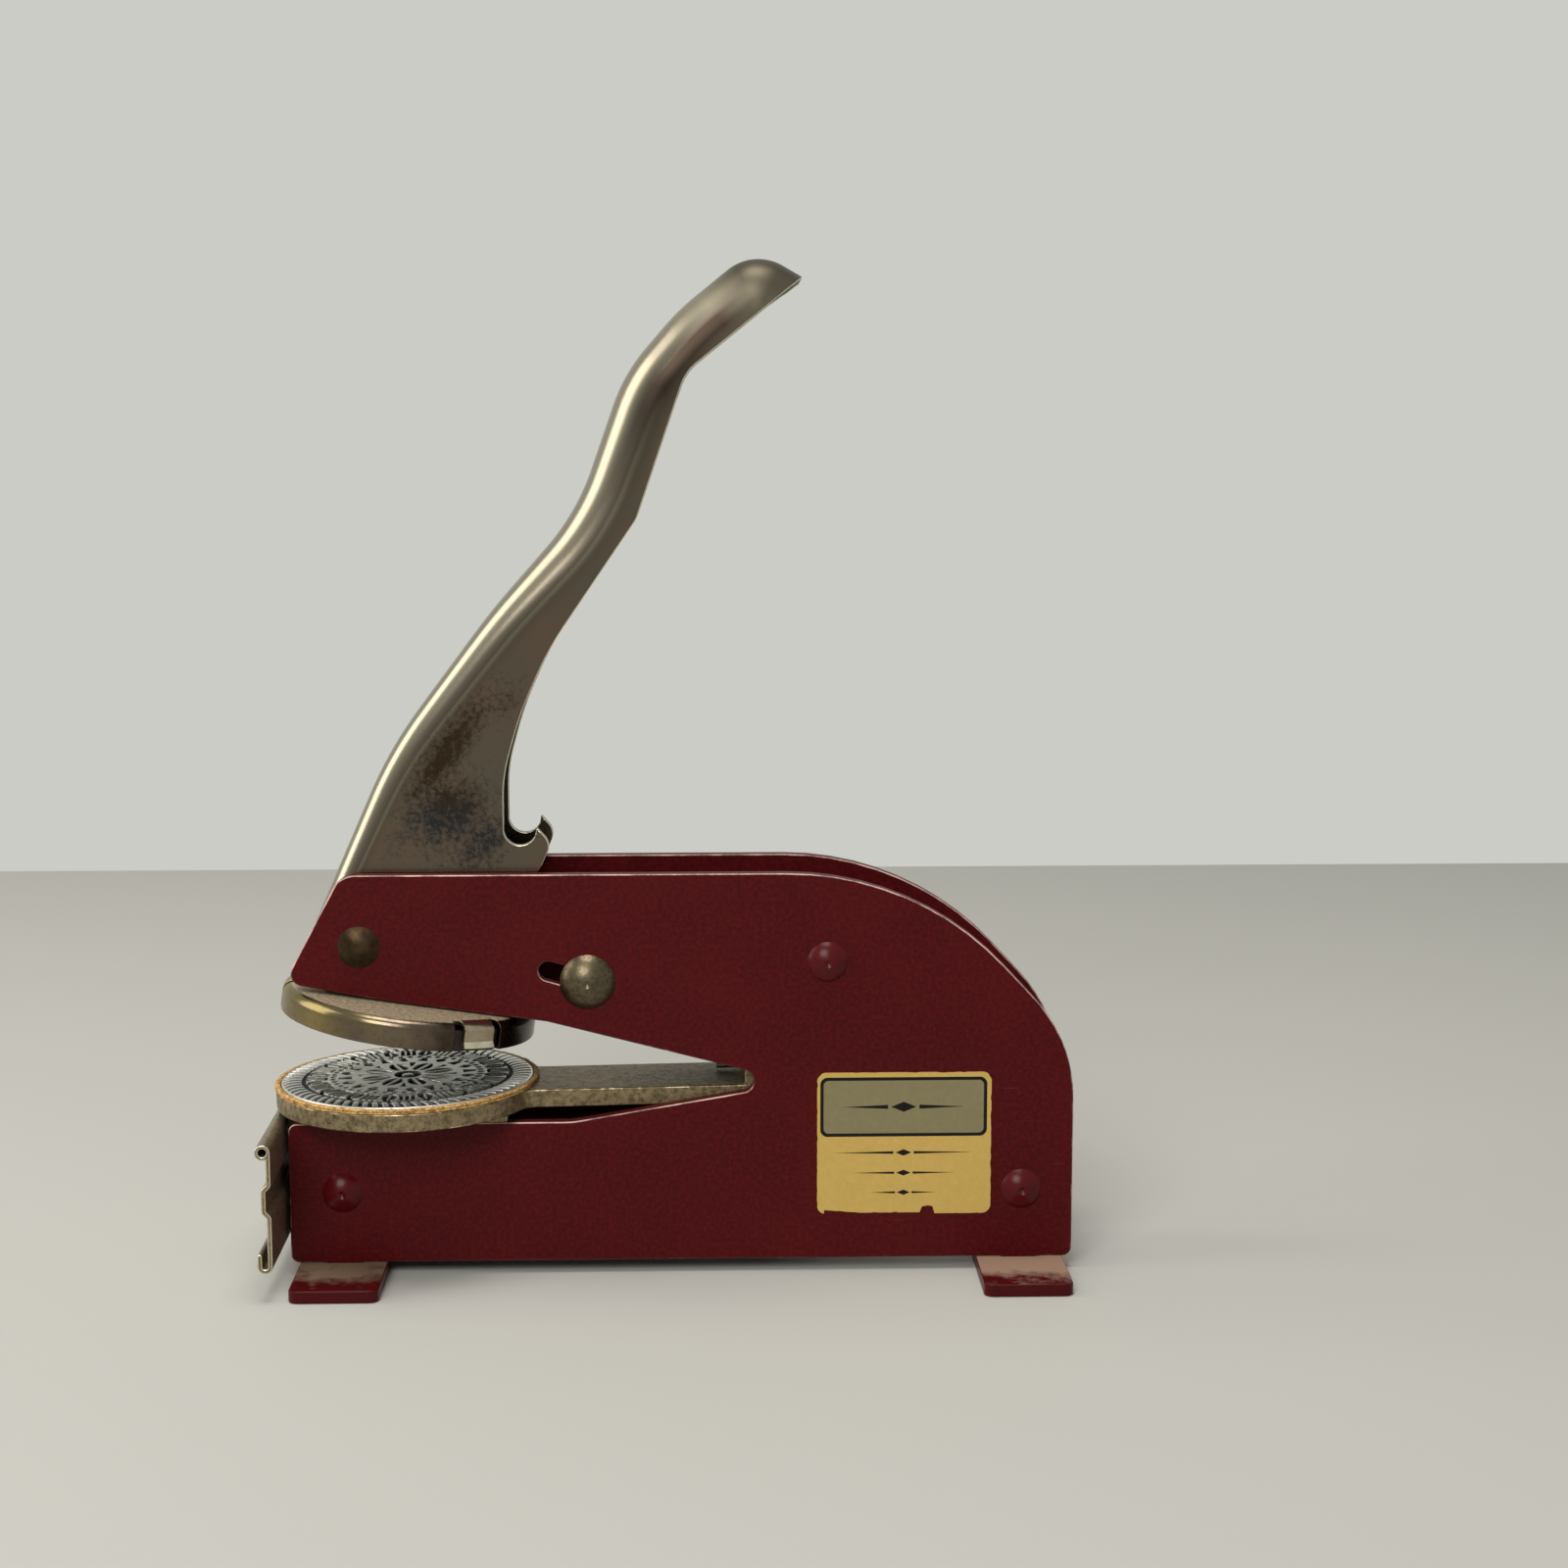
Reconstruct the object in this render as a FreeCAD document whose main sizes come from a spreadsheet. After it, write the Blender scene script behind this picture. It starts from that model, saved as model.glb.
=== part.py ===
import FreeCAD, Part
import math
import os
import Sketcher

# Desk seal embosser: two steel side plates on two flat feet hold a hinged pair of round dies.
# A nickel-plated lever on a pivot above the dies swings back and down, and its two noses press
# the upper die on to the lower one.  A slotted pin locks the lever down.
# Frame: X runs from the dies (-X) to the back (+X), Y is across the plates, Z is up.
# The origin is on the table, under the middle of the bounding box.  Millimetres.

doc = FreeCAD.newDocument("seal_embosser")

# ---------------------------------------------------------------- driving dimensions
DIMENSIONS = [
    # side plates; heights are above the plate's lower edge, lengths from its front edge
    ("frame_length", 127.5),
    ("frame_rise", 63.95),
    ("plate_thick", 2.4),
    ("frame_gap", 16.2),
    ("jaw_rise", 23.2),
    ("ramp_start", 46.0),
    ("throat_depth", 82.6),
    ("throat_rise", 29.4),
    ("throat_round", 1.9),
    ("bend_depth", 42.0),
    ("bend_rise", 39.9),
    ("belly_depth", 16.0),
    ("belly_rise", 43.5),
    ("tip_rise", 46.5),
    ("tip_round", 2.0),
    ("brow_depth", 9.3),
    ("brow_round", 4.0),
    ("shoulder_back", 25.7),
    ("shoulder_round", 48.0),
    ("heel_rise", 36.05),
    ("heel_round", 24.5),
    ("edge_round", 15.0),
    ("sole_round", 1.4),
    # feet
    ("foot_length", 50.0),
    ("foot_width", 14.3),
    ("foot_thick", 2.1),
    ("foot_inset", 1.4),
    ("foot_round", 0.8),
    ("tenon_width", 6.0),
    ("tenon_gap", 0.05),
    ("tenon_short", 0.1),
    # rivets and spacer tubes that join the plates
    ("rivet_shank", 1.75),
    ("rivet_head", 3.3),
    ("rivet_dome", 1.5),
    ("dimple_radius", 0.7),
    ("dimple_sink", 0.35),
    ("hole_play", 0.03),
    ("spacer_radius", 3.4),
    ("low_front_depth", 8.6),
    ("low_front_rise", 11.7),
    ("low_rear_back", 8.4),
    ("low_rear_rise", 11.4),
    ("high_rear_depth", 87.4),
    ("high_rear_rise", 49.4),
    # lever pivot
    ("pivot_depth", 12.0),
    ("pivot_rise", 52.3),
    ("pivot_shank", 2.0),
    ("pivot_head", 3.4),
    ("pivot_dome", 1.1),
    ("sleeve_radius", 3.0),
    ("sleeve_play", 0.05),
    ("washer_radius", 4.6),
    ("washer_thick", 0.5),
    ("washer_play", 0.1),
    # lever: corners of its flanges, measured from the pivot
    ("lever_sheet", 1.5),
    ("lever_bend", 4.0),
    ("toe_ahead", 10.1),
    ("toe_drop", 2.6),
    ("knee_back", 4.8),
    ("knee_up", 31.1),
    ("knee_round", 70.0),
    ("forearm_back", 21.4),
    ("forearm_up", 53.2),
    ("forearm_round", 120.0),
    ("wrist_back", 35.3),
    ("wrist_up", 68.9),
    ("wrist_round", 38.0),
    ("palm_back", 43.1),
    ("palm_up", 91.0),
    ("palm_round", 28.0),
    ("crown_back", 51.8),
    ("crown_up", 101.0),
    ("crown_round", 40.0),
    ("cap_back", 63.8),
    ("cap_up", 110.6),
    ("cap_round", 7.7),
    ("grip_end_back", 71.5),
    ("grip_end_up", 106.2),
    ("grip_back", 52.9),
    ("grip_up", 91.3),
    ("grip_round", 8.0),
    ("notch_back", 44.9),
    ("notch_up", 68.1),
    ("notch_round", 3.0),
    ("calf_back", 30.8),
    ("calf_up", 47.5),
    ("calf_round", 50.0),
    ("shin_back", 26.1),
    ("shin_up", 37.0),
    ("shin_round", 50.0),
    ("back_up", 27.0),
    ("back_round", 25.0),
    ("hook_back", 25.9),
    ("hook_up", 18.5),
    ("hook_radius", 2.6),
    ("beak_up", 0.4),
    ("beak_round", 0.3),
    ("cheek_back", 5.0),
    ("cheek_drop", 2.3),
    ("cheek_round", 2.5),
    ("jowl_back", 2.8),
    ("jowl_drop", 7.6),
    ("jowl_round", 8.0),
    ("nose_reach", 13.65),
    ("nose_angle", 8.5),
    ("nose_radius", 4.0),
    ("boss_radius", 5.0),
    # lock pin in its slots
    ("lock_depth", 48.6),
    ("lock_rise", 46.4),
    ("lock_shank", 1.4),
    ("lock_head", 4.45),
    ("lock_dome", 2.2),
    ("lock_play", 0.05),
    ("lock_lift", 0.1),
    ("slot_run", 6.45),
    ("slot_angle", 15.7),
    # lower die
    ("die_depth", 18.4),
    ("die_tilt", 1.0),
    ("holder_radius", 21.5),
    ("holder_thick", 3.0),
    ("seat_thick", 1.4),
    ("seat_radius", 17.0),
    ("cork_radius", 21.6),
    ("cork_thick", 0.85),
    ("die_radius", 20.65),
    ("die_thick", 1.0),
    ("die_relief", 0.15),
    ("die_play", 0.1),
    # arms and their hinge
    ("arm_play", 0.15),
    ("arm_thick", 3.0),
    ("hinge_reach", 59.0),
    ("hinge_drop", 2.5),
    ("hinge_radius", 2.0),
    ("hinge_play", 0.04),
    ("knuckle_radius", 3.4),
    ("ear_thick", 2.2),
    ("lug_thick", 2.0),
    ("lug_play", 0.15),
    ("strip_gap", 1.0),
    ("arm_nose", 13.5),
    ("open_angle", 8.9),
    ("paper_gap", 0.1),
    # upper die cup
    ("cup_radius", 20.8),
    ("cup_height", 4.6),
    ("cup_wall", 0.9),
    ("cup_roof", 1.0),
    ("cup_shoulder", 1.7),
    ("slit_width", 1.6),
    ("tab_angle", 52.0),
    ("tab_half", 10.0),
    ("counter_play", 0.15),
    ("counter_proud", 0.25),
    ("stud_radius", 1.5),
    ("stud_head", 2.6),
    ("stud_rise", 0.7),
    ("stud_spread", 8.0),
    # return spring
    ("wire_radius", 0.5),
    ("coil_turns", 3.0),
    ("coil_play", 0.35),
    ("leg_length", 8.0),
    ("leg_play", 0.1),
    # front clip and its bracket
    ("clip_sheet", 0.75),
    ("clip_width", 50.0),
    ("clip_gap", 0.7),
    ("clip_top", 22.5),
    ("curl_radius", 1.25),
    ("curl_bore", 0.65),
    ("bead_low", 12.0),
    ("bead_high", 16.3),
    ("bead_push", 0.85),
    ("hem_low", 2.85),
    ("hem_radius", 1.2),
    ("hem_lip", 1.6),
    ("bracket_sheet", 1.2),
    ("bracket_width", 13.0),
    ("bracket_high", 7.6),
    # label
    ("label_back", 13.4),
    ("label_low", 7.4),
    ("label_length", 28.4),
    ("label_high", 23.7),
    ("label_thick", 0.12),
    ("label_round", 1.5),
]

dims = doc.addObject("Spreadsheet::Sheet", "dims")
for row, (alias, value) in enumerate(DIMENSIONS, start=1):
    dims.set("A%d" % row, alias)
    dims.set("B%d" % row, str(value))
    dims.setAlias("B%d" % row, alias)
doc.recompute()


def number(text):
    """Value of an expression that uses the sheet's aliases."""
    return float(dims.evalExpression(text))


def place_of(words):
    """Expression with every alias of the sheet written out in full."""
    text = words
    for alias, _ in sorted(DIMENSIONS, key=lambda entry: -len(entry[0])):
        text = text.replace("@" + alias, "dims." + alias)
    return text


# ---------------------------------------------------------------- places worked out from them
FRONT = place_of("((@cork_radius - @die_depth - @frame_length) / 2)")
BASE = place_of("@foot_thick")
HALF_GAP = place_of("(@frame_gap / 2)")
HALF_OUT = place_of("(@frame_gap / 2 + @plate_thick)")
PIVOT_X = place_of("(%s + @pivot_depth)" % FRONT)
PIVOT_Z = place_of("(@foot_thick + @pivot_rise)")
LOCK_X = place_of("(%s + @lock_depth)" % FRONT)
LOCK_Z = place_of("(@foot_thick + @lock_rise)")
DIE_X = place_of("(%s + @die_depth)" % FRONT)
HOLDER_Z = place_of("(@foot_thick + @jaw_rise + @seat_thick + @holder_thick)")
FACE_DROP = place_of("(@cup_height + @counter_proud - @hinge_drop)")
HINGE_UP = place_of("(%s + @paper_gap + @die_thick + @die_relief)" % FACE_DROP)
HINGE_X = place_of("(%s + @hinge_reach * cos(@die_tilt) - %s * sin(@die_tilt))" % (DIE_X, HINGE_UP))
HINGE_Z = place_of("(%s + @hinge_reach * sin(@die_tilt) + %s * cos(@die_tilt))" % (HOLDER_Z, HINGE_UP))
ARM_TILT = place_of("(@open_angle - @die_tilt)")
ARM_X = place_of("(%s - @hinge_reach * cos(%s) + @hinge_drop * sin(%s))" % (HINGE_X, ARM_TILT, ARM_TILT))
ARM_Z = place_of("(%s + @hinge_reach * sin(%s) + @hinge_drop * cos(%s))" % (HINGE_Z, ARM_TILT, ARM_TILT))
HALF_ARM = place_of("(@frame_gap / 2 - @arm_play)")
HALF_EYE = place_of("(@frame_gap / 2 - @arm_play - @ear_thick - @lug_play)")
HALF_LEVER = place_of("(@frame_gap / 2 - @washer_thick - 2 * @washer_play)")


# ---------------------------------------------------------------- tools for building
def new_body(name):
    """Empty PartDesign body whose Label is the piece's name."""
    body = doc.addObject("PartDesign::Body", name)
    body.Label = name
    return body


def new_sketch(body, name, plane="XZ_Plane"):
    """Sketch on one of the body's own origin planes."""
    sketch = body.newObject("Sketcher::SketchObject", name)
    support = [item for item in body.Origin.OriginFeatures if item.Role == plane][0]
    sketch.AttachmentSupport = [(support, "")]
    sketch.MapMode = "FlatFace"
    return sketch


def pin_point(sketch, geometry, end, across, up):
    """Bind one end of a sketch line to a pair of expressions."""
    for kind, text in (("DistanceX", across), ("DistanceY", up)):
        rule = sketch.addConstraint(Sketcher.Constraint(kind, -1, 1, geometry, end, number(text)))
        sketch.setExpression("Constraints[%d]" % rule, text)


def draw_polygon(sketch, corners):
    """Closed outline; each corner is a pair of expressions."""
    points = [FreeCAD.Vector(number(across), number(up), 0) for across, up in corners]
    first = sketch.GeometryCount
    count = len(points)
    for index in range(count):
        line = Part.LineSegment(points[index], points[(index + 1) % count])
        sketch.addGeometry(line, False)
    for index in range(count):
        join = Sketcher.Constraint("Coincident", first + index, 2, first + (index + 1) % count, 1)
        sketch.addConstraint(join)
    for index, (across, up) in enumerate(corners):
        pin_point(sketch, first + index, 1, across, up)


def draw_circle(sketch, across, up, radius):
    """Circle whose centre and radius are expressions."""
    centre = FreeCAD.Vector(number(across), number(up), 0)
    circle = sketch.addGeometry(Part.Circle(centre, FreeCAD.Vector(0, 0, 1), number(radius)), False)
    pin_point(sketch, circle, 3, across, up)
    rule = sketch.addConstraint(Sketcher.Constraint("Radius", circle, number(radius)))
    sketch.setExpression("Constraints[%d]" % rule, radius)


def pad(body, sketch, name, length, towards_plus_y=False):
    """Pad of the sketch; a sketch on the XZ plane pads towards -Y unless it is turned round."""
    feature = body.newObject("PartDesign::Pad", name)
    feature.Profile = sketch
    feature.Reversed = towards_plus_y
    feature.setExpression("Length", length)
    doc.recompute()
    return feature


def pocket(body, sketch, name):
    """Cut the sketch right through the body."""
    before = body.Shape.Volume
    feature = body.newObject("PartDesign::Pocket", name)
    feature.Profile = sketch
    feature.Type = "ThroughAll"
    feature.Midplane = True
    doc.recompute()
    if body.Shape.Volume >= before:
        raise RuntimeError("pocket %s cuts nothing" % name)
    return feature


def round_edges(body, name, radius, chosen):
    """Fillet the edges for which chosen(edge) is true."""
    tip = body.Tip
    names = ["Edge%d" % (index + 1) for index, edge in enumerate(tip.Shape.Edges) if chosen(edge)]
    if not names:
        raise RuntimeError("no edge for %s" % name)
    feature = body.newObject("PartDesign::Fillet", name)
    feature.Base = (tip, names)
    feature.setExpression("Radius", radius)
    doc.recompute()
    if "Invalid" in feature.State:
        raise RuntimeError("fillet %s fails" % name)
    return feature


def cross_edge_at(across, up):
    """Test for an edge along Y that stands at the point (across, up)."""
    spot = (number(across), number(up))

    def test(edge):
        ends = [vertex.Point for vertex in edge.Vertexes]
        return len(ends) == 2 and all(math.hypot(p.x - spot[0], p.z - spot[1]) < 1e-4 for p in ends)
    return test


def turned(body, name, corners):
    """Solid turned about the body's Z axis; corners are pairs of radius and height."""
    sketch = new_sketch(body, name + "_section")
    draw_polygon(sketch, corners)
    feature = body.newObject("PartDesign::Revolution", name)
    feature.Profile = sketch
    feature.ReferenceAxis = (sketch, ["V_Axis"])
    feature.Angle = 360
    doc.recompute()
    return feature


def put(item, x, y, z, axis=None, angle=None):
    """Place a piece by expressions; axis and angle turn it first."""
    if axis is not None:
        item.Placement = FreeCAD.Placement(FreeCAD.Vector(), FreeCAD.Rotation(axis, number(angle)))
        item.setExpression("Placement.Rotation.Angle", angle)
    item.setExpression("Placement.Base.x", x)
    item.setExpression("Placement.Base.y", y)
    item.setExpression("Placement.Base.z", z)


X_AXIS = FreeCAD.Vector(1, 0, 0)
Y_AXIS = FreeCAD.Vector(0, 1, 0)


def lay_across(item, x, z):
    """Lay a turned piece along Y with its middle in the centre plane."""
    put(item, x, "0", z, FreeCAD.Vector(-1, 0, 0), "90")


def domed_pin(name, shank, grip, head, dome, sink):
    """Pin along the body's Z axis with a domed head at both ends, each dimpled by sink."""
    body = new_body(name)
    half = "(%s / 2)" % grip
    globe = "((%s ^ 2 + %s ^ 2) / (2 * %s))" % (head, dome, dome)
    centre = "(%s + %s - %s)" % (half, dome, globe)
    dent = place_of("@dimple_radius")
    rim = "(%s + sqrt(%s ^ 2 - %s ^ 2))" % (centre, globe, dent)
    pit = "(%s - %s)" % (rim, sink)
    sketch = new_sketch(body, "section")
    spots = [("0", "-" + pit), (dent, "-" + rim), (head, "-" + half), (shank, "-" + half),
             (shank, half), (head, half), (dent, rim), ("0", pit)]
    points = [FreeCAD.Vector(number(across), number(up), 0) for across, up in spots]
    count = len(points)
    for index in range(count):
        start = points[index]
        end = points[(index + 1) % count]
        if index in (1, 5):
            side = -1 if index == 1 else 1
            middle = FreeCAD.Vector(0, side * number(centre), 0)
            edge = Part.Circle(middle, FreeCAD.Vector(0, 0, 1), number(globe))
            angles = [math.atan2(p.y - middle.y, p.x - middle.x) for p in (start, end)]
            sketch.addGeometry(Part.ArcOfCircle(edge, angles[0], angles[1]), False)
        else:
            sketch.addGeometry(Part.LineSegment(start, end), False)
    for index in range(count):
        sketch.addConstraint(Sketcher.Constraint("Coincident", index, 2, (index + 1) % count, 1))
    for index in (0, 2, 3, 4, 5, 7):
        pin_point(sketch, index, 1, *spots[index])
    for index, end in ((1, 1), (5, 2)):
        across = sketch.addConstraint(Sketcher.Constraint("DistanceX", -1, 1, index, end, number(dent)))
        sketch.setExpression("Constraints[%d]" % across, dent)
        bend = sketch.addConstraint(Sketcher.Constraint("Radius", index, number(globe)))
        sketch.setExpression("Constraints[%d]" % bend, globe)
        sketch.addConstraint(Sketcher.Constraint("PointOnObject", index, 3, -2))
    feature = body.newObject("PartDesign::Revolution", "turn")
    feature.Profile = sketch
    feature.ReferenceAxis = (sketch, ["V_Axis"])
    feature.Angle = 360
    doc.recompute()
    return body


def tube(name, outer, inner, length):
    """Tube along the body's Z axis, centred on its middle."""
    body = new_body(name)
    half = "(%s / 2)" % length
    turned(body, "wall", [(inner, "-" + half), (outer, "-" + half), (outer, half), (inner, half)])
    return body


def group(name, members):
    """One piece name for several equal, separate solids."""
    compound = doc.addObject("Part::Compound", name)
    compound.Label = name
    compound.Links = members
    doc.recompute()
    return compound


def rounded_wire(corners, closed=True):
    """Wire through corners (x, z, radius) in the XZ plane, each corner rounded by an arc."""
    points = [FreeCAD.Vector(x, 0, z) for x, z, _ in corners]
    radii = [radius for _, _, radius in corners]
    count = len(points)
    edges = []
    inner = range(count) if closed else range(1, count - 1)
    ends = {}
    for index in inner:
        here = points[index]
        back = (points[index - 1] - here).normalize()
        ahead = (points[(index + 1) % count] - here).normalize()
        half = back.getAngle(ahead) / 2
        radius = radii[index]
        if radius <= 0 or abs(half - math.pi / 2) < 1e-6:
            ends[index] = (here, here, here)
            continue
        reach = radius / math.tan(half)
        centre = here + (back + ahead).normalize() * (radius / math.sin(half))
        middle = centre + (here - centre).normalize() * radius
        ends[index] = (here + back * reach, middle, here + ahead * reach)
    if not closed:
        ends[0] = (points[0],) * 3
        ends[count - 1] = (points[-1],) * 3
    steps = range(count) if closed else range(count - 1)
    for index in range(count):
        start, middle, end = ends[index]
        if start.distanceToPoint(end) > 1e-6:
            edges.append(Part.Arc(start, middle, end).toShape())
        if index in steps:
            follow = ends[(index + 1) % count][0]
            if end.distanceToPoint(follow) > 1e-6:
                edges.append(Part.LineSegment(end, follow).toShape())
    return Part.Wire(edges)


def slab(face, low, high):
    """Extrude a face of the XZ plane from Y = low to Y = high."""
    moved = face.copy()
    moved.translate(FreeCAD.Vector(0, low, 0))
    return moved.extrude(FreeCAD.Vector(0, high - low, 0))


def shaped(name, shape, x, z):
    """Piece whose shape is made from sheet values; x and z are expressions for its place."""
    item = doc.addObject("Part::Feature", name)
    item.Label = name
    item.Shape = shape
    put(item, x, "0", z)
    doc.recompute()
    return item


# ---------------------------------------------------------------- side plates
def plate_corners():
    """Corners of a side plate from its front edge and lower edge, each with its rounding."""
    return [
        ("0", "0", "@sole_round"),
        ("@frame_length", "0", "@sole_round"),
        ("@frame_length", "@heel_rise", "@heel_round"),
        ("@frame_length - @shoulder_back", "@frame_rise", "@shoulder_round"),
        ("@brow_depth", "@frame_rise", "@brow_round"),
        ("0", "@tip_rise", "@tip_round"),
        ("@belly_depth", "@belly_rise", None),
        ("@bend_depth", "@bend_rise", None),
        ("@throat_depth", "@throat_rise", "@throat_round"),
        ("@ramp_start", "@jaw_rise", "@edge_round"),
        ("0", "@jaw_rise", "@sole_round"),
    ]


RIVET_SPOTS = [
    ("@low_front_depth", "@low_front_rise"),
    ("@frame_length - @low_rear_back", "@low_rear_rise"),
    ("@high_rear_depth", "@high_rear_rise"),
]
FRONT_FOOT_MIDDLE = place_of("(@foot_inset + @foot_width / 2)")
REAR_FOOT_MIDDLE = place_of("(@frame_length - @foot_inset - @foot_width / 2)")


def side_plate(name, y, away):
    """Blanked plate with jaw, throat, rivet holes, lock slot and two tenons for the feet."""
    body = new_body(name)
    corners = [(place_of(across), place_of(up)) for across, up, _ in plate_corners()]
    outline = new_sketch(body, "outline")
    draw_polygon(outline, corners)
    for across, up in RIVET_SPOTS:
        draw_circle(outline, place_of(across), place_of(up), place_of("@rivet_shank + @hole_play"))
    draw_circle(outline, place_of("@pivot_depth"), place_of("@pivot_rise"),
                place_of("@pivot_shank + @hole_play"))
    pad(body, outline, "blank", place_of("@plate_thick"), away)
    for (across, up), (_, _, radius) in zip(corners, plate_corners()):
        if radius:
            round_edges(body, "round", place_of(radius), cross_edge_at(across, up))
    wide = place_of("(@lock_shank + @lock_play)")
    run_x = place_of("(@slot_run * cos(@slot_angle))")
    run_z = place_of("(@slot_run * sin(@slot_angle))")
    off_x = place_of("(%s * sin(@slot_angle))" % wide)
    off_z = place_of("(%s * cos(@slot_angle))" % wide)
    slot = new_sketch(body, "slot_sides")
    draw_polygon(slot, [
        (place_of("@lock_depth + %s" % off_x), place_of("@lock_rise + %s" % off_z)),
        (place_of("@lock_depth - %s" % off_x), place_of("@lock_rise - %s" % off_z)),
        (place_of("@lock_depth - %s - %s" % (run_x, off_x)),
         place_of("@lock_rise + %s - %s" % (run_z, off_z))),
        (place_of("@lock_depth - %s + %s" % (run_x, off_x)),
         place_of("@lock_rise + %s + %s" % (run_z, off_z))),
    ])
    pocket(body, slot, "slot_cut")
    for label, share in (("slot_rest", "0"), ("slot_end", "1")):
        ends = new_sketch(body, label)
        draw_circle(ends, place_of("@lock_depth - %s * %s" % (share, run_x)),
                    place_of("@lock_rise + %s * %s" % (share, run_z)), wide)
        pocket(body, ends, label + "_cut")
    tenons = new_sketch(body, "tenons")
    for middle in (FRONT_FOOT_MIDDLE, REAR_FOOT_MIDDLE):
        left = place_of("%s - @tenon_width / 2" % middle)
        right = place_of("%s + @tenon_width / 2" % middle)
        low = place_of("@tenon_short - @foot_thick")
        high = place_of("@foot_thick")
        draw_polygon(tenons, [(left, low), (right, low), (right, high), (left, high)])
    pad(body, tenons, "tenon", place_of("@plate_thick"), away)
    put(body, FRONT, y, BASE)
    return body


right_plate = side_plate("right_side_plate", "-" + HALF_GAP, False)
left_plate = side_plate("left_side_plate", HALF_GAP, True)


# ---------------------------------------------------------------- feet
def foot(name, middle):
    """Flat steel bar under both plates, with a slot for each plate's tenon."""
    body = new_body(name)
    outline = new_sketch(body, "outline", "XY_Plane")
    half_x = place_of("(@foot_width / 2)")
    half_y = place_of("(@foot_length / 2)")
    draw_polygon(outline, [("-" + half_x, "-" + half_y), (half_x, "-" + half_y),
                           (half_x, half_y), ("-" + half_x, half_y)])
    slot_x = place_of("(@tenon_width / 2 + @tenon_gap)")
    near = place_of("(%s - @tenon_gap)" % HALF_GAP)
    far = place_of("(%s + @tenon_gap)" % HALF_OUT)
    for low, high in ((near, far), ("-" + far, "-" + near)):
        draw_polygon(outline, [("-" + slot_x, low), (slot_x, low), (slot_x, high), ("-" + slot_x, high)])
    pad(body, outline, "bar", place_of("@foot_thick"))
    corner = (number(half_x), number(half_y))

    def outer_corner(edge):
        ends = [vertex.Point for vertex in edge.Vertexes]
        return all(abs(abs(p.x) - corner[0]) < 1e-4 and abs(abs(p.y) - corner[1]) < 1e-4 for p in ends)
    round_edges(body, "corners", place_of("@foot_round"), outer_corner)
    put(body, "%s + %s" % (FRONT, middle), "0", "0")
    return body


front_foot = foot("front_foot", FRONT_FOOT_MIDDLE)
rear_foot = foot("rear_foot", REAR_FOOT_MIDDLE)

# ---------------------------------------------------------------- frame rivets and spacer tubes
rivets = []
spacers = []
for index, (across, up) in enumerate(RIVET_SPOTS):
    rivet = domed_pin("rivet_%d" % index, place_of("@rivet_shank"), "(2 * %s)" % HALF_OUT,
                      place_of("@rivet_head"), place_of("@rivet_dome"), place_of("@dimple_sink"))
    spacer = tube("spacer_%d" % index, place_of("@spacer_radius"),
                  place_of("(@rivet_shank + @hole_play)"), place_of("@frame_gap"))
    for item in (rivet, spacer):
        lay_across(item, place_of("%s + %s" % (FRONT, across)), place_of("%s + %s" % (BASE, up)))
    rivets.append(rivet)
    spacers.append(spacer)
frame_rivets = group("frame_rivets", rivets)
frame_spacers = group("frame_spacers", spacers)

# ---------------------------------------------------------------- lever pivot
pivot_rivet = domed_pin("pivot_rivet", place_of("@pivot_shank"), "(2 * %s)" % HALF_OUT,
                        place_of("@pivot_head"), place_of("@pivot_dome"), "0")
lay_across(pivot_rivet, PIVOT_X, PIVOT_Z)
pivot_sleeve = tube("pivot_sleeve", place_of("@sleeve_radius"),
                    place_of("(@pivot_shank + @hole_play)"), place_of("@frame_gap"))
lay_across(pivot_sleeve, PIVOT_X, PIVOT_Z)
washers = []
for side in ("-", ""):
    washer = tube("washer", place_of("@washer_radius"), place_of("(@sleeve_radius + @sleeve_play)"),
                  place_of("@washer_thick"))
    put(washer, PIVOT_X, place_of("%s(%s - @washer_play - @washer_thick / 2)" % (side, HALF_GAP)), PIVOT_Z,
        FreeCAD.Vector(-1, 0, 0), "90")
    washers.append(washer)
thrust_washers = group("thrust_washers", washers)


# ---------------------------------------------------------------- lever
def size(alias):
    """Plain value of one sheet cell."""
    return float(dims.get(alias))


def tangent_point(start, centre, radius, side):
    """Point where the line from start touches a circle, on its left (+1) or right (-1) hand."""
    across = centre[0] - start[0]
    up = centre[1] - start[1]
    far = math.hypot(across, up)
    heading = math.atan2(up, across) + side * math.asin(radius / far)
    reach = math.sqrt(far * far - radius * radius)
    return (start[0] + reach * math.cos(heading), start[1] + reach * math.sin(heading))


def lever_front():
    """Corners of the web, from the toe under the pivot up to the end of the grip."""
    chain = [(-size("toe_ahead"), -size("toe_drop"), 0.0)]
    for name in ("knee", "forearm", "wrist", "palm", "crown", "cap"):
        chain.append((size(name + "_back"), size(name + "_up"), size(name + "_round")))
    chain.append((size("grip_end_back"), size("grip_end_up"), 0.0))
    return chain


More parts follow.
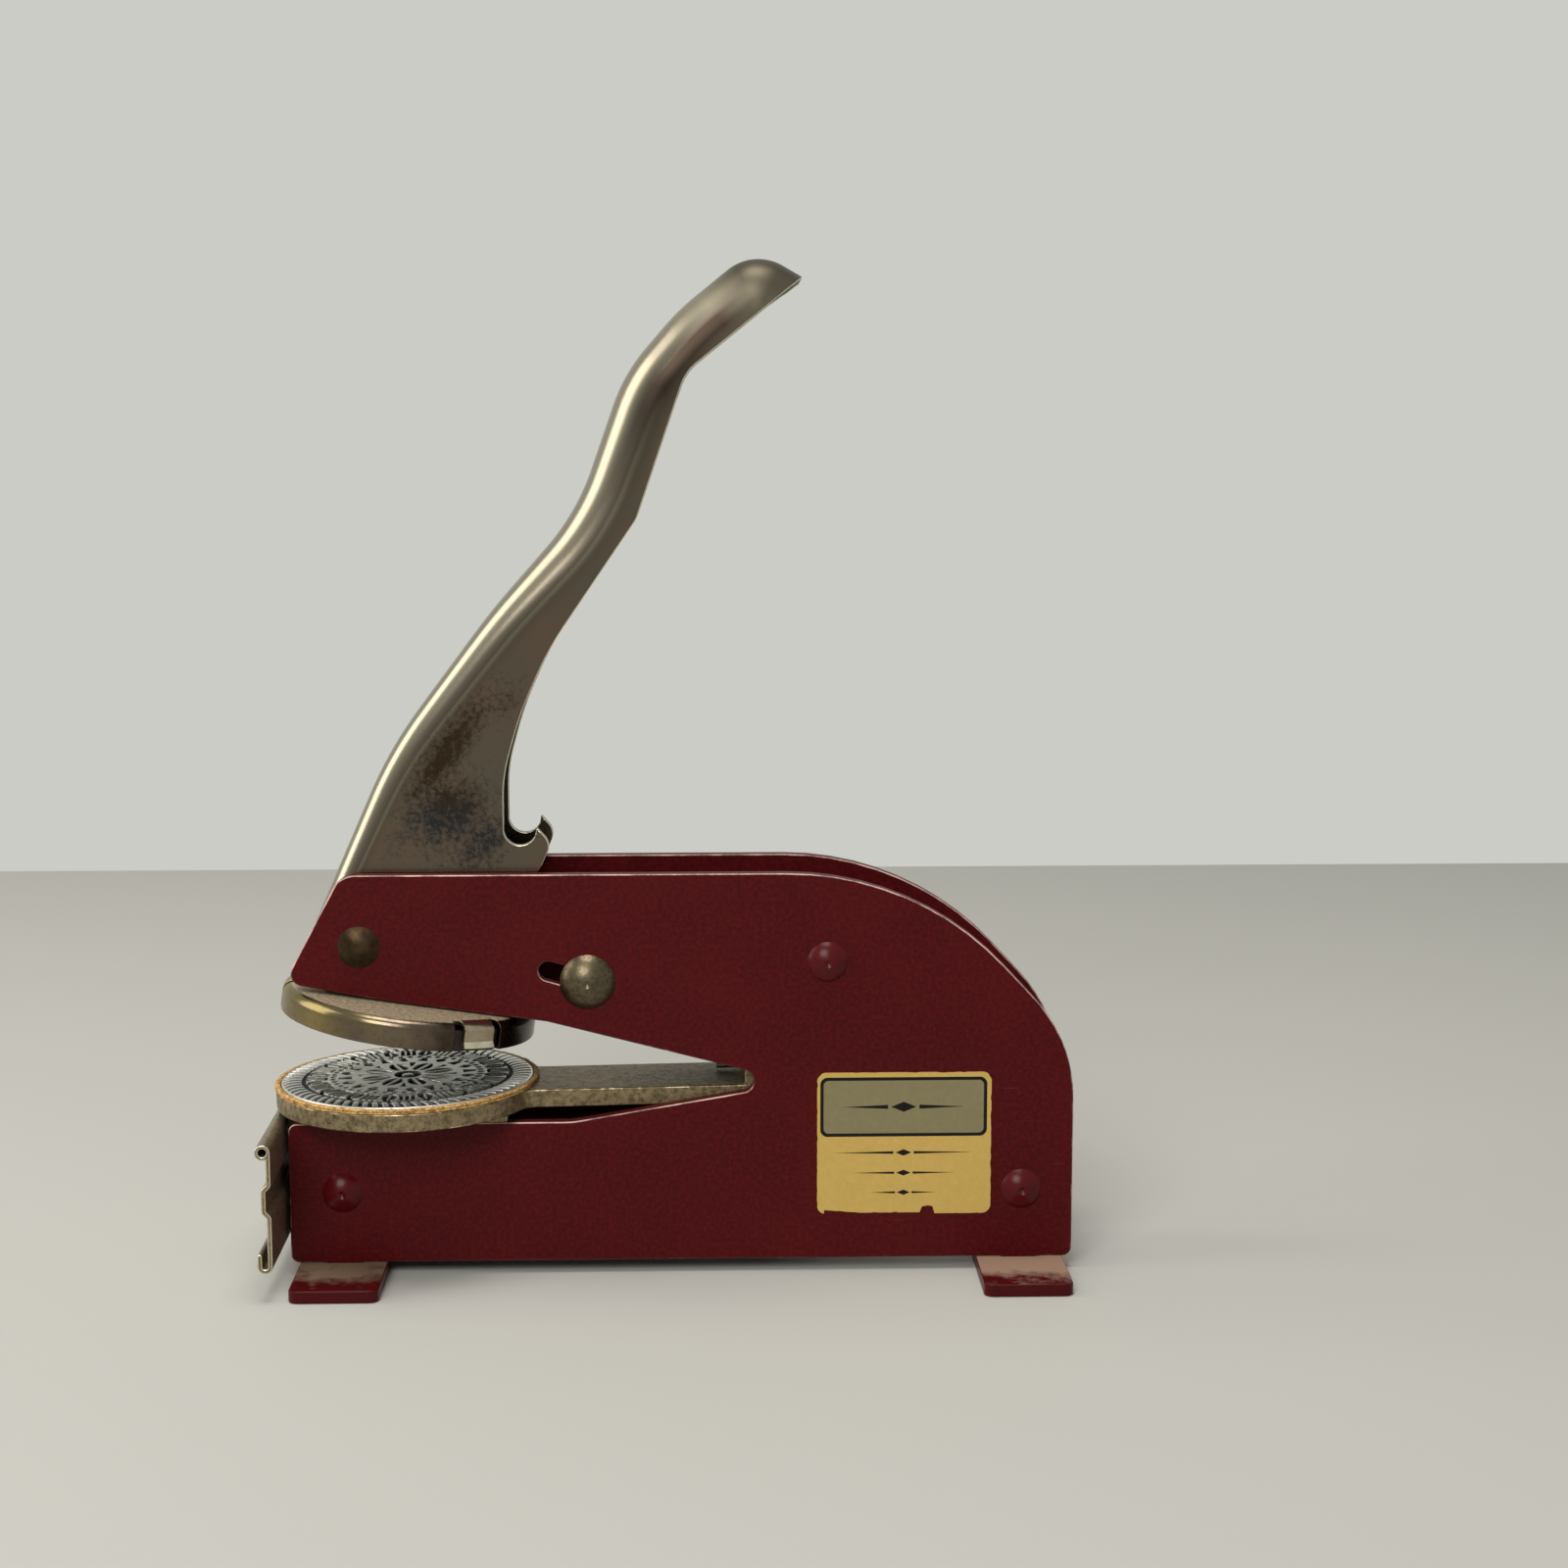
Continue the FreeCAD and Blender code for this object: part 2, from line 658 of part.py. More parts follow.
def lever_rear():
    """Corners of the open side, from the grip down to the lock hook."""
    hook_x = size("hook_back")
    hook_z = size("hook_up")
    bore = size("hook_radius")
    near_full = bore * 0.996
    return [
        (size("grip_back"), size("grip_up"), size("grip_round")),
        (size("notch_back"), size("notch_up"), size("notch_round")),
        (size("calf_back"), size("calf_up"), size("calf_round")),
        (size("shin_back"), size("shin_up"), size("shin_round")),
        (hook_x - bore, size("back_up"), size("back_round")),
        (hook_x - bore, hook_z - bore, near_full),
        (hook_x + bore, hook_z - bore, near_full),
        (hook_x + bore, hook_z + size("beak_up"), size("beak_round")),
        (hook_x + size("cheek_back"), hook_z - size("cheek_drop"), size("cheek_round")),
        (hook_x + size("jowl_back"), hook_z - size("jowl_drop"), size("jowl_round")),
    ]


def lever_shape():
    """U channel of folded sheet: two equal flanges joined by a web along the front."""
    front = lever_front()
    rear = lever_rear()
    sheet = size("lever_sheet")
    half = number(HALF_LEVER)
    boss = size("boss_radius")
    slope = math.radians(-size("nose_angle"))
    nose = (size("nose_reach") * math.cos(slope), size("nose_reach") * math.sin(slope))
    into_nose = tangent_point(rear[-1][:2], nose, size("nose_radius"), -1)
    outline = front + rear + [(into_nose[0], into_nose[1], 0.0), (nose[0], nose[1], 0.0), (0.0, 0.0, 0.0)]
    chin = [(0.0, -boss, 0.0), (nose[0], nose[1] - size("nose_radius"), 0.0), (nose[0], nose[1], 0.0),
            (0.0, 0.0, 0.0)]
    toe = [front[0], (0.0, 0.0, 0.0), (0.0, -boss, 0.0)]
    whole = slab(Part.Face(rounded_wire(outline)), -half, half)
    extra = [slab(Part.Face(rounded_wire(corners)), -half, half) for corners in (chin, toe)]
    for centre, radius in (((0.0, 0.0), boss), (nose, size("nose_radius"))):
        extra.append(Part.makeCylinder(radius, 2 * half, FreeCAD.Vector(centre[0], -half, centre[1]), Y_AXIS))
    whole = whole.fuse(extra).removeSplitter()
    web_line = rounded_wire(front, closed=False)
    strips = [web_line.makeOffset2D(side * sheet, join=2, fill=True, openResult=True) for side in (-1, 1)]
    webs = [slab(strip, -half, half).common(whole) for strip in strips]
    web = max(webs, key=lambda shape: shape.Volume)
    box = whole.BoundBox
    inside = Part.makeBox(box.XLength + 2, 2 * (half - sheet), box.ZLength + 2,
                          FreeCAD.Vector(box.XMin - 1, sheet - half, box.ZMin - 1))
    shape = whole.cut(inside).fuse(web).removeSplitter()
    bore = Part.makeCylinder(size("sleeve_radius") + size("sleeve_play"), 2 * half + 2,
                             FreeCAD.Vector(0, -half - 1, 0), Y_AXIS)
    shape = shape.cut(bore)
    folds = []
    for edge in shape.Edges:
        box = edge.BoundBox
        middle = edge.valueAt((edge.FirstParameter + edge.LastParameter) / 2)
        flat = Part.Vertex(middle.x, 0, middle.z)
        on_side = abs(abs(middle.y) - half) < 1e-4 and box.YLength < 1e-4
        if on_side and flat.distToShape(web_line)[0] < 1e-3:
            folds.append(edge)
    return shape.makeFillet(size("lever_bend"), folds)


lever = shaped("lever", lever_shape(), PIVOT_X, PIVOT_Z)

# ---------------------------------------------------------------- lock pin
lock_grip = place_of("(2 * (%s + @lock_lift))" % HALF_OUT)
lock_pin = domed_pin("lock_pin", place_of("@lock_shank"), lock_grip, place_of("@lock_head"),
                     place_of("@lock_dome"), place_of("@dimple_sink"))
lay_across(lock_pin, LOCK_X, LOCK_Z)


# ---------------------------------------------------------------- lower die
def holder_body():
    """Round plate with an arm to the hinge, two ears and a level seat for the plates' edges."""
    body = new_body("lower_die_holder")
    disc = new_sketch(body, "disc", "XY_Plane")
    draw_circle(disc, "0", "0", place_of("@holder_radius"))
    pad(body, disc, "disc_pad", place_of("@holder_thick"), True)
    arm = new_sketch(body, "arm", "XY_Plane")
    tail = place_of("(@hinge_reach + @knuckle_radius)")
    start = place_of("(@holder_radius / 2)")
    draw_polygon(arm, [(start, "-" + HALF_ARM), (tail, "-" + HALF_ARM), (tail, HALF_ARM), (start, HALF_ARM)])
    pad(body, arm, "arm_pad", place_of("@holder_thick"), True)
    neck = place_of("sqrt(@holder_radius ^ 2 - %s ^ 2)" % HALF_ARM)
    spot = (number(neck), number(HALF_ARM))

    def neck_edge(edge):
        corner = edge.Vertexes[0].Point
        upright = edge.BoundBox.XLength < 1e-3
        return upright and abs(corner.x - spot[0]) < 1e-3 and abs(abs(corner.y) - spot[1]) < 1e-3
    round_edges(body, "neck", place_of("@holder_thick"), neck_edge)
    seat = new_sketch(body, "seat")
    low = place_of("(@holder_thick + @seat_thick)")
    fall = place_of("(@seat_radius * tan(@die_tilt))")
    half = place_of("@seat_radius")
    rise = place_of("(@holder_thick / 2)")
    draw_polygon(seat, [("-" + half, "-" + rise), ("-" + half, "-%s + %s" % (low, fall)),
                        (half, "-%s - %s" % (low, fall)), (half, "-" + rise)])
    seat.AttachmentOffset = FreeCAD.Placement(FreeCAD.Vector(0, 0, -number(HALF_OUT)), FreeCAD.Rotation())
    seat.setExpression("AttachmentOffset.Base.z", "-" + HALF_OUT)
    pad(body, seat, "seat_pad", "2 * " + HALF_OUT)
    for mark, offset in (("near", "-(%s - %s)" % (HALF_ARM, place_of("@ear_thick"))), ("far", HALF_ARM)):
        ear = new_sketch(body, mark + "_ear")
        draw_polygon(ear, [
            (place_of("@hinge_reach - @knuckle_radius"), place_of("-@holder_thick / 2")),
            (place_of("@hinge_reach + @knuckle_radius"), place_of("-@holder_thick / 2")),
            (place_of("@hinge_reach + @knuckle_radius"), HINGE_UP),
            (place_of("@hinge_reach - @knuckle_radius"), HINGE_UP),
        ])
        top = new_sketch(body, mark + "_ear_top")
        draw_circle(top, place_of("@hinge_reach"), HINGE_UP, place_of("@knuckle_radius"))
        for sketch, label in ((ear, "_ear_pad"), (top, "_top_pad")):
            sketch.AttachmentOffset = FreeCAD.Placement(FreeCAD.Vector(0, 0, -number(offset)),
                                                        FreeCAD.Rotation())
            sketch.setExpression("AttachmentOffset.Base.z", "-(%s)" % offset)
            pad(body, sketch, mark + label, place_of("@ear_thick"))
    hole = new_sketch(body, "hinge_hole")
    draw_circle(hole, place_of("@hinge_reach"), HINGE_UP, place_of("@hinge_radius"))
    pocket(body, hole, "hinge_bore")
    put(body, DIE_X, "0", HOLDER_Z, FreeCAD.Vector(0, -1, 0), place_of("@die_tilt"))
    return body


holder = holder_body()


def on_holder(item, up):
    """Stand a turned piece on the lower die holder, up above its top face."""
    put(item, "%s - %s * sin(%s)" % (DIE_X, up, place_of("@die_tilt")), "0",
        "%s + %s * cos(%s)" % (HOLDER_Z, up, place_of("@die_tilt")),
        FreeCAD.Vector(0, -1, 0), place_of("@die_tilt"))


cork_ring = new_body("cork_ring")
turned(cork_ring, "ring", [
    (place_of("@die_radius + @die_play"), "0"), (place_of("@cork_radius"), "0"),
    (place_of("@cork_radius"), place_of("@cork_thick")),
    (place_of("@die_radius + @die_play"), place_of("@cork_thick"))])
on_holder(cork_ring, "0")

lower_die = new_body("lower_die")
turned(lower_die, "plate", [
    ("0", "0"), (place_of("@die_radius"), "0"), (place_of("@die_radius"), place_of("@die_thick")),
    (place_of("@die_radius * 0.97"), place_of("@die_thick + @die_relief")),
    (place_of("@die_radius * 0.9"), place_of("@die_thick + @die_relief")),
    (place_of("@die_radius * 0.88"), place_of("@die_thick")), ("0", place_of("@die_thick"))])
on_holder(lower_die, "0")

hinge_pin = new_body("hinge_pin")
pin_end = place_of("(%s - @arm_play / 2)" % HALF_GAP)
pin_face = place_of("(%s - @hinge_radius * 0.2)" % pin_end)
turned(hinge_pin, "pin", [
    ("0", "-" + pin_end), (place_of("@hinge_radius * 0.8"), "-" + pin_end),
    (place_of("@hinge_radius"), "-" + pin_face), (place_of("@hinge_radius"), pin_face),
    (place_of("@hinge_radius * 0.8"), pin_end), ("0", pin_end)])
lay_across(hinge_pin, HINGE_X, HINGE_Z)


# ---------------------------------------------------------------- upper die
def arm_body():
    """Flat arm over the cup, running back to two lugs on the hinge pin."""
    body = new_body("upper_arm")
    strip = new_sketch(body, "strip")
    front = place_of("-@arm_nose")
    back = place_of("(@hinge_reach - @knuckle_radius - @strip_gap)")
    draw_polygon(strip, [(front, "0"), (back, "0"), (back, place_of("@arm_thick")),
                         (front, place_of("@arm_thick"))])
    strip.AttachmentOffset = FreeCAD.Placement(FreeCAD.Vector(0, 0, -number(HALF_ARM)), FreeCAD.Rotation())
    strip.setExpression("AttachmentOffset.Base.z", "-" + HALF_ARM)
    pad(body, strip, "strip_pad", "2 * " + HALF_ARM)
    for mark, offset in (("near", "-(%s - %s)" % (HALF_EYE, place_of("@lug_thick"))), ("far", HALF_EYE)):
        lug = new_sketch(body, mark + "_lug")
        draw_polygon(lug, [
            ("%s - %s" % (back, place_of("@knuckle_radius")), "0"),
            (place_of("@hinge_reach"), place_of("-@hinge_drop - @knuckle_radius")),
            (place_of("@hinge_reach"), place_of("@knuckle_radius - @hinge_drop")),
            ("%s - %s" % (back, place_of("@knuckle_radius")), place_of("@arm_thick")),
        ])
        end = new_sketch(body, mark + "_lug_end")
        draw_circle(end, place_of("@hinge_reach"), place_of("-@hinge_drop"), place_of("@knuckle_radius"))
        for sketch, label in ((lug, "_lug_pad"), (end, "_end_pad")):
            sketch.AttachmentOffset = FreeCAD.Placement(FreeCAD.Vector(0, 0, -number(offset)),
                                                        FreeCAD.Rotation())
            sketch.setExpression("AttachmentOffset.Base.z", "-(%s)" % offset)
            pad(body, sketch, mark + label, place_of("@lug_thick"))
    hole = new_sketch(body, "hinge_hole")
    draw_circle(hole, place_of("@hinge_reach"), place_of("-@hinge_drop"),
                place_of("@hinge_radius + @hinge_play"))
    pocket(body, hole, "hinge_bore")
    studs = new_sketch(body, "stud_holes", "XY_Plane")
    for side in ("-", ""):
        draw_circle(studs, place_of("%s@stud_spread" % side), "0", place_of("@stud_radius + @hole_play"))
    pocket(body, studs, "stud_bores")
    put(body, ARM_X, "0", ARM_Z, Y_AXIS, ARM_TILT)
    return body


upper_arm = arm_body()


def on_arm(item, along, up):
    """Fix a turned piece to the upper arm, along and up from the cup's middle."""
    put(item, "%s + %s * cos(%s) + %s * sin(%s)" % (ARM_X, along, ARM_TILT, up, ARM_TILT), "0",
        "%s - %s * sin(%s) + %s * cos(%s)" % (ARM_Z, along, ARM_TILT, up, ARM_TILT), Y_AXIS, ARM_TILT)


def cup_body():
    """Pressed cup, open below, with three spring tabs between slits in its rim."""
    body = new_body("upper_cup")
    outer = place_of("@cup_radius")
    inner = place_of("(@cup_radius - @cup_wall)")
    low = place_of("-@cup_height")
    roof = place_of("-@cup_roof")
    turned(body, "shell", [("0", roof), (inner, roof), (inner, low), (outer, low), (outer, "0"), ("0", "0")])
    edge_radius = number(outer)

    def rim_edge(edge):
        curve = edge.Curve
        round_one = isinstance(curve, Part.Circle) and abs(curve.Radius - edge_radius) < 1e-4
        return round_one and abs(curve.Center.z) < 1e-4
    round_edges(body, "shoulder", place_of("@cup_shoulder"), rim_edge)
    slits = new_sketch(body, "slits", "XY_Plane")
    for middle in ("180", place_of("@tab_angle"), place_of("(-@tab_angle)")):
        for side in ("-", "+"):
            turn = place_of("(%s %s @tab_half)" % (middle, side))
            corners = []
            for reach, across in ((0.9, -1), (1.05, -1), (1.05, 1), (0.9, 1)):
                along = place_of("(@cup_radius * %s)" % reach)
                aside = place_of("(@slit_width / 2 * %d)" % across)
                corners.append(("%s * cos(%s) - %s * sin(%s)" % (along, turn, aside, turn),
                                "%s * sin(%s) + %s * cos(%s)" % (along, turn, aside, turn)))
            draw_polygon(slits, corners)
    cut = body.newObject("PartDesign::Pocket", "slit_cuts")
    cut.Profile = slits
    cut.setExpression("Length", place_of("@cup_height"))
    before = body.Shape.Volume
    doc.recompute()
    if body.Shape.Volume >= before - 1:
        raise RuntimeError("slits cut nothing")
    studs = new_sketch(body, "stud_holes", "XY_Plane")
    for side in ("-", ""):
        draw_circle(studs, place_of("%s@stud_spread" % side), "0", place_of("@stud_radius + @hole_play"))
    pocket(body, studs, "stud_bores")
    on_arm(body, "0", "0")
    return body


upper_cup = cup_body()

upper_die = new_body("upper_die")
counter_edge = place_of("(@cup_radius - @cup_wall - @counter_play)")
counter_top = place_of("(-@cup_roof - @stud_rise)")
counter_face = place_of("(-@cup_height - @counter_proud)")
turned(upper_die, "counter", [
    ("0", counter_face), (place_of("(%s - 0.4)" % counter_edge), counter_face),
    (counter_edge, place_of("-@cup_height")), (counter_edge, counter_top), ("0", counter_top)])
on_arm(upper_die, "0", "0")

studs = []
for side in ("-", ""):
    stud = new_body("stud")
    low_head = place_of("(-@cup_roof - @stud_rise * 0.8)")
    high_head = place_of("(@arm_thick + @stud_rise)")
    turned(stud, "turn", [
        ("0", low_head), (place_of("@stud_head"), low_head),
        (place_of("@stud_head"), place_of("-@cup_roof")),
        (place_of("@stud_radius"), place_of("-@cup_roof")), (place_of("@stud_radius"), place_of("@arm_thick")),
        (place_of("@stud_head"), place_of("@arm_thick")), (place_of("@stud_head * 0.7"), high_head),
        ("0", high_head)])
    on_arm(stud, place_of("%s@stud_spread" % side), "0")
    studs.append(stud)
cup_rivets = group("cup_rivets", studs)


# ---------------------------------------------------------------- return spring
def spring_shape():
    """Torsion coil round the hinge pin, one leg over the lower arm and one under the upper arm."""
    wire = size("wire_radius")
    mean = size("hinge_radius") + size("coil_play") + wire
    leg = size("leg_length")
    lower = math.radians(size("die_tilt"))
    upper = math.radians(number(ARM_TILT))
    rise = size("hinge_drop") - wire - size("leg_play")
    back = size("knuckle_radius") + size("strip_gap") - size("leg_play")
    bend = (-back * math.cos(upper) + rise * math.sin(upper), back * math.sin(upper) + rise * math.cos(upper))
    top = tangent_point(bend, (0.0, 0.0), mean, 1)
    start = math.atan2(-math.cos(lower), math.sin(lower))
    turn = math.atan2(top[1], top[0]) - start + 2 * math.pi * size("coil_turns")
    room = 2 * (number(HALF_EYE) - size("lug_thick") - size("coil_play") - wire)
    helix = Part.makeHelix(room * 2 * math.pi / turn, room, mean)
    ring = Part.Wire(Part.Circle(FreeCAD.Vector(mean, 0, 0), Y_AXIS, wire).toShape())
    coil = Part.Wire(helix.Edges).makePipeShell([ring], True, True)
    coil.rotate(FreeCAD.Vector(), FreeCAD.Vector(0, 0, 1), math.degrees(start))
    coil.translate(FreeCAD.Vector(0, 0, -room / 2))
    coil.rotate(FreeCAD.Vector(), X_AXIS, 90)
    low_end = FreeCAD.Vector(mean * math.sin(lower), room / 2, -mean * math.cos(lower))
    high_end = FreeCAD.Vector(top[0], -room / 2, top[1])
    bent = FreeCAD.Vector(bend[0], -room / 2, bend[1])
    legs = [
        Part.makeCylinder(wire, leg, low_end, FreeCAD.Vector(-math.cos(lower), 0, -math.sin(lower))),
        Part.makeCylinder(wire, (bent - high_end).Length, high_end, bent - high_end),
        Part.makeCylinder(wire, leg, bent, FreeCAD.Vector(-math.cos(upper), 0, math.sin(upper))),
    ]
    joints = [Part.makeSphere(wire, spot) for spot in (low_end, high_end, bent)]
    return coil.fuse(joints).fuse(legs).removeSplitter()


return_spring = shaped("return_spring", spring_shape(), HINGE_X, HINGE_Z)


# ---------------------------------------------------------------- front clip
def clip_shape():
    """Spring strip across the front: rolled finger edge, stiffening bead and a hem below."""
    sheet = size("clip_sheet")
    half = size("clip_width") / 2
    middle = -size("clip_gap") - sheet / 2
    push = size("bead_push")
    hem = size("hem_radius") - sheet / 2
    low = size("hem_low") + sheet / 2
    line = [
        (middle, size("clip_top"), 0.0),
        (middle, size("bead_high") + push, 0.6),
        (middle - push, size("bead_high"), 0.6),
        (middle - push, size("bead_low") + push, 0.6),
        (middle, size("bead_low"), 0.6),
        (middle, low, hem * 0.99),
        (middle - 2 * hem, low, hem * 0.99),
        (middle - 2 * hem, low + hem + size("hem_lip"), 0.0),
    ]
    strip = rounded_wire(line, closed=False).makeOffset2D(sheet / 2, join=0, fill=False, openResult=False)
    body = slab(Part.Face(strip), -half, half)
    curl = FreeCAD.Vector(middle + sheet / 2 - size("curl_radius"), -half, size("clip_top"))
    roll = Part.makeCylinder(size("curl_radius"), 2 * half, curl, Y_AXIS)
    bore = Part.makeCylinder(size("curl_bore"), 2 * half, curl, Y_AXIS)
    return body.fuse(roll).cut(bore).removeSplitter()


front_clip = shaped("front_clip", clip_shape(), FRONT, BASE)


def bracket_shape():
    """Strap folded round the front spacer tube, with a flange that carries the clip."""
    sheet = size("bracket_sheet")
    half = size("bracket_width") / 2
    hole = size("spacer_radius") + size("hinge_play")
    centre = (size("low_front_depth"), size("low_front_rise"))
    face = -size("clip_gap")
    low = size("hem_low") + size("hem_radius")
    ring = Part.makeCylinder(hole + sheet, 2 * half, FreeCAD.Vector(centre[0], -half, centre[1]), Y_AXIS)
    foot_line = centre[1] - hole - sheet
    flange = Part.makeBox(sheet, 2 * half, size("bracket_high"), FreeCAD.Vector(face, -half, low))
    reach = centre[0] - face
    top = min(low + size("bracket_high"), foot_line + sheet)
    bottom = top - sheet
    strap = Part.makeBox(reach, 2 * half, sheet, FreeCAD.Vector(face, -half, bottom))
    post = Part.makeBox(sheet, 2 * half, centre[1] - bottom,
                        FreeCAD.Vector(centre[0] - sheet / 2, -half, bottom))
    bore = Part.makeCylinder(hole, 2 * half, FreeCAD.Vector(centre[0], -half, centre[1]), Y_AXIS)
    return flange.fuse([strap, ring, post]).cut(bore).removeSplitter()


clip_bracket = shaped("clip_bracket", bracket_shape(), FRONT, BASE)

# ---------------------------------------------------------------- label
label = new_body("label")
label_outline = new_sketch(label, "outline")
label_right = place_of("(@frame_length - @label_back)")
label_left = place_of("(%s - @label_length)" % label_right)
label_top = place_of("(@label_low + @label_high)")
draw_polygon(label_outline, [
    (label_left, place_of("@label_low")), (label_right, place_of("@label_low")),
    (label_right, label_top), (label_left, label_top)])
pad(label, label_outline, "sticker", place_of("@label_thick"))
round_edges(label, "corners", place_of("@label_round"), lambda edge: edge.BoundBox.YLength > 0.01)
put(label, FRONT, "-" + HALF_OUT, BASE)

# ---------------------------------------------------------------- check and write
PIECES = [
    left_plate, right_plate, front_foot, rear_foot, frame_rivets, frame_spacers, pivot_rivet,
    pivot_sleeve, thrust_washers, lever, lock_pin, holder, cork_ring, lower_die, hinge_pin, upper_arm,
    upper_cup, upper_die, cup_rivets, return_spring, front_clip, clip_bracket, label,
]

doc.recompute()
for item in doc.Objects:
    if "Invalid" in item.State or "Error" in item.State:
        raise RuntimeError("%s is %s" % (item.Name, item.State))
for item in PIECES:
    if item.Shape.isNull() or not item.Shape.isValid() or item.Shape.Volume <= 0:
        raise RuntimeError("%s has no valid shape" % item.Label)
os.makedirs("parts", exist_ok=True)
for item in PIECES:
    item.Shape.exportStep("parts/%s.step" % item.Label)
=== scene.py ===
import math

import bmesh
import bpy
from mathutils import Matrix, Vector, noise
from mathutils.geometry import delaunay_2d_cdt


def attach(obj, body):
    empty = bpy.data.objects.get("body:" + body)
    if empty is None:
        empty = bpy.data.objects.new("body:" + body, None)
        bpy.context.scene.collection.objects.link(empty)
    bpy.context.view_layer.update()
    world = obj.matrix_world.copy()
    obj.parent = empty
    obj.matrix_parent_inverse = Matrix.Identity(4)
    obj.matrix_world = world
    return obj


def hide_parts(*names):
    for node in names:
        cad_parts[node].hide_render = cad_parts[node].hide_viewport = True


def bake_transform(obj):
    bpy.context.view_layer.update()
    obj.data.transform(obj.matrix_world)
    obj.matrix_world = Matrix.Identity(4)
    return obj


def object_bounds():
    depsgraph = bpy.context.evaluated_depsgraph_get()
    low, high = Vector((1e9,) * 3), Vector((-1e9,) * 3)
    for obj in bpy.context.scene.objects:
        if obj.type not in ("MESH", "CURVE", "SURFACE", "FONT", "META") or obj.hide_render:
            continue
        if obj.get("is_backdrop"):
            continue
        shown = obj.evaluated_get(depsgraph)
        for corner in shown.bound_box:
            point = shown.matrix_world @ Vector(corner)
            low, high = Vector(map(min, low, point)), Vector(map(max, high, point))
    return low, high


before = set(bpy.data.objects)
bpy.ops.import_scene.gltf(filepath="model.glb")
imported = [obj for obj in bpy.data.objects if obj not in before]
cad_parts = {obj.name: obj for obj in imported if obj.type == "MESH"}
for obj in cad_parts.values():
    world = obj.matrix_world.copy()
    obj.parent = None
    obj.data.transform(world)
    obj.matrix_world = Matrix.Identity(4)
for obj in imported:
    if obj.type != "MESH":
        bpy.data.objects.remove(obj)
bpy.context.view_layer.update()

MM = 0.001

# ---------------------------- viewpoint
# The press is looked at from its right-hand side, a little above the bench, by a 63 mm lens.
# The view is turned 1.8 degrees towards the dies and tipped 8.2 degrees down.
eye = bpy.data.objects.new("eye", bpy.data.cameras.new("eye"))
eye.data.lens = 63.02
eye.data.sensor_width = 36.0
eye.data.clip_start = 0.02
eye.location = (0.004694, -0.44440, 0.142835)
eye.rotation_euler = (math.radians(81.838), 0.0, math.radians(-1.777))
bpy.context.collection.objects.link(eye)
bpy.context.scene.camera = eye
bpy.context.scene.view_settings.view_transform = "Standard"


# ---------------------------- bench and light
# A pale matt bench in a pale room. Three soft lamps: one high in front, which is the strongest, one
# overhead for the tops, and a wide one to the left, which runs along the lever's fold.
def linear(code):
    """Linear colour, with alpha, of an sRGB hex value."""
    parts = [int(code[at:at + 2], 16) / 255 for at in (1, 3, 5)]
    return tuple(p / 12.92 if p <= 0.04045 else ((p + 0.055) / 1.055) ** 2.4 for p in parts) + (1.0,)


def plug(tree, node, inputs):
    """Fills a node's inputs by name or number: a value, hex colour, output, or node for its live output."""
    for name, value in inputs.items():
        if isinstance(value, str):
            value = linear(value)
        if isinstance(value, bpy.types.Node):
            value = next(output for output in value.outputs if output.enabled)
        if isinstance(value, bpy.types.NodeSocket):
            tree.links.new(value, node.inputs[name])
        else:
            node.inputs[name].default_value = value


def add(tree, kind, inputs=None, **settings):
    """Adds a shader node with its settings and inputs; a pattern's Scale is 1000 over its size in mm."""
    node = tree.nodes.new("ShaderNode" + kind)
    for name, value in settings.items():
        setattr(node, name, value)
    plug(tree, node, inputs or {})
    return node


def start_finish(name, **constants):
    """New material, its node tree, its shader with the constants, and the piece's own coordinates."""
    finish = bpy.data.materials.new(name)
    finish.use_nodes = True
    tree = finish.node_tree
    shader = tree.nodes["Principled BSDF"]
    plug(tree, shader, {socket.replace("_", " "): value for socket, value in constants.items()})
    return finish, tree, shader, add(tree, "TexCoord").outputs["Object"]


room = bpy.data.worlds.new("pale_room")
room.use_nodes = True
tree = room.node_tree
ray = add(tree, "LightPath")
seen = add(tree, "Math", {0: ray.outputs["Is Camera Ray"], 1: ray.outputs["Is Glossy Ray"]},
           operation="MAXIMUM")
seen = add(tree, "Math", {0: seen, 1: ray.outputs["Is Transmission Ray"]}, operation="MAXIMUM")
level = add(tree, "MapRange", {"Value": seen, "To Min": 0.34})
plug(tree, tree.nodes["Background"], {"Color": "#cbccc6", "Strength": level})
bpy.context.scene.world = room

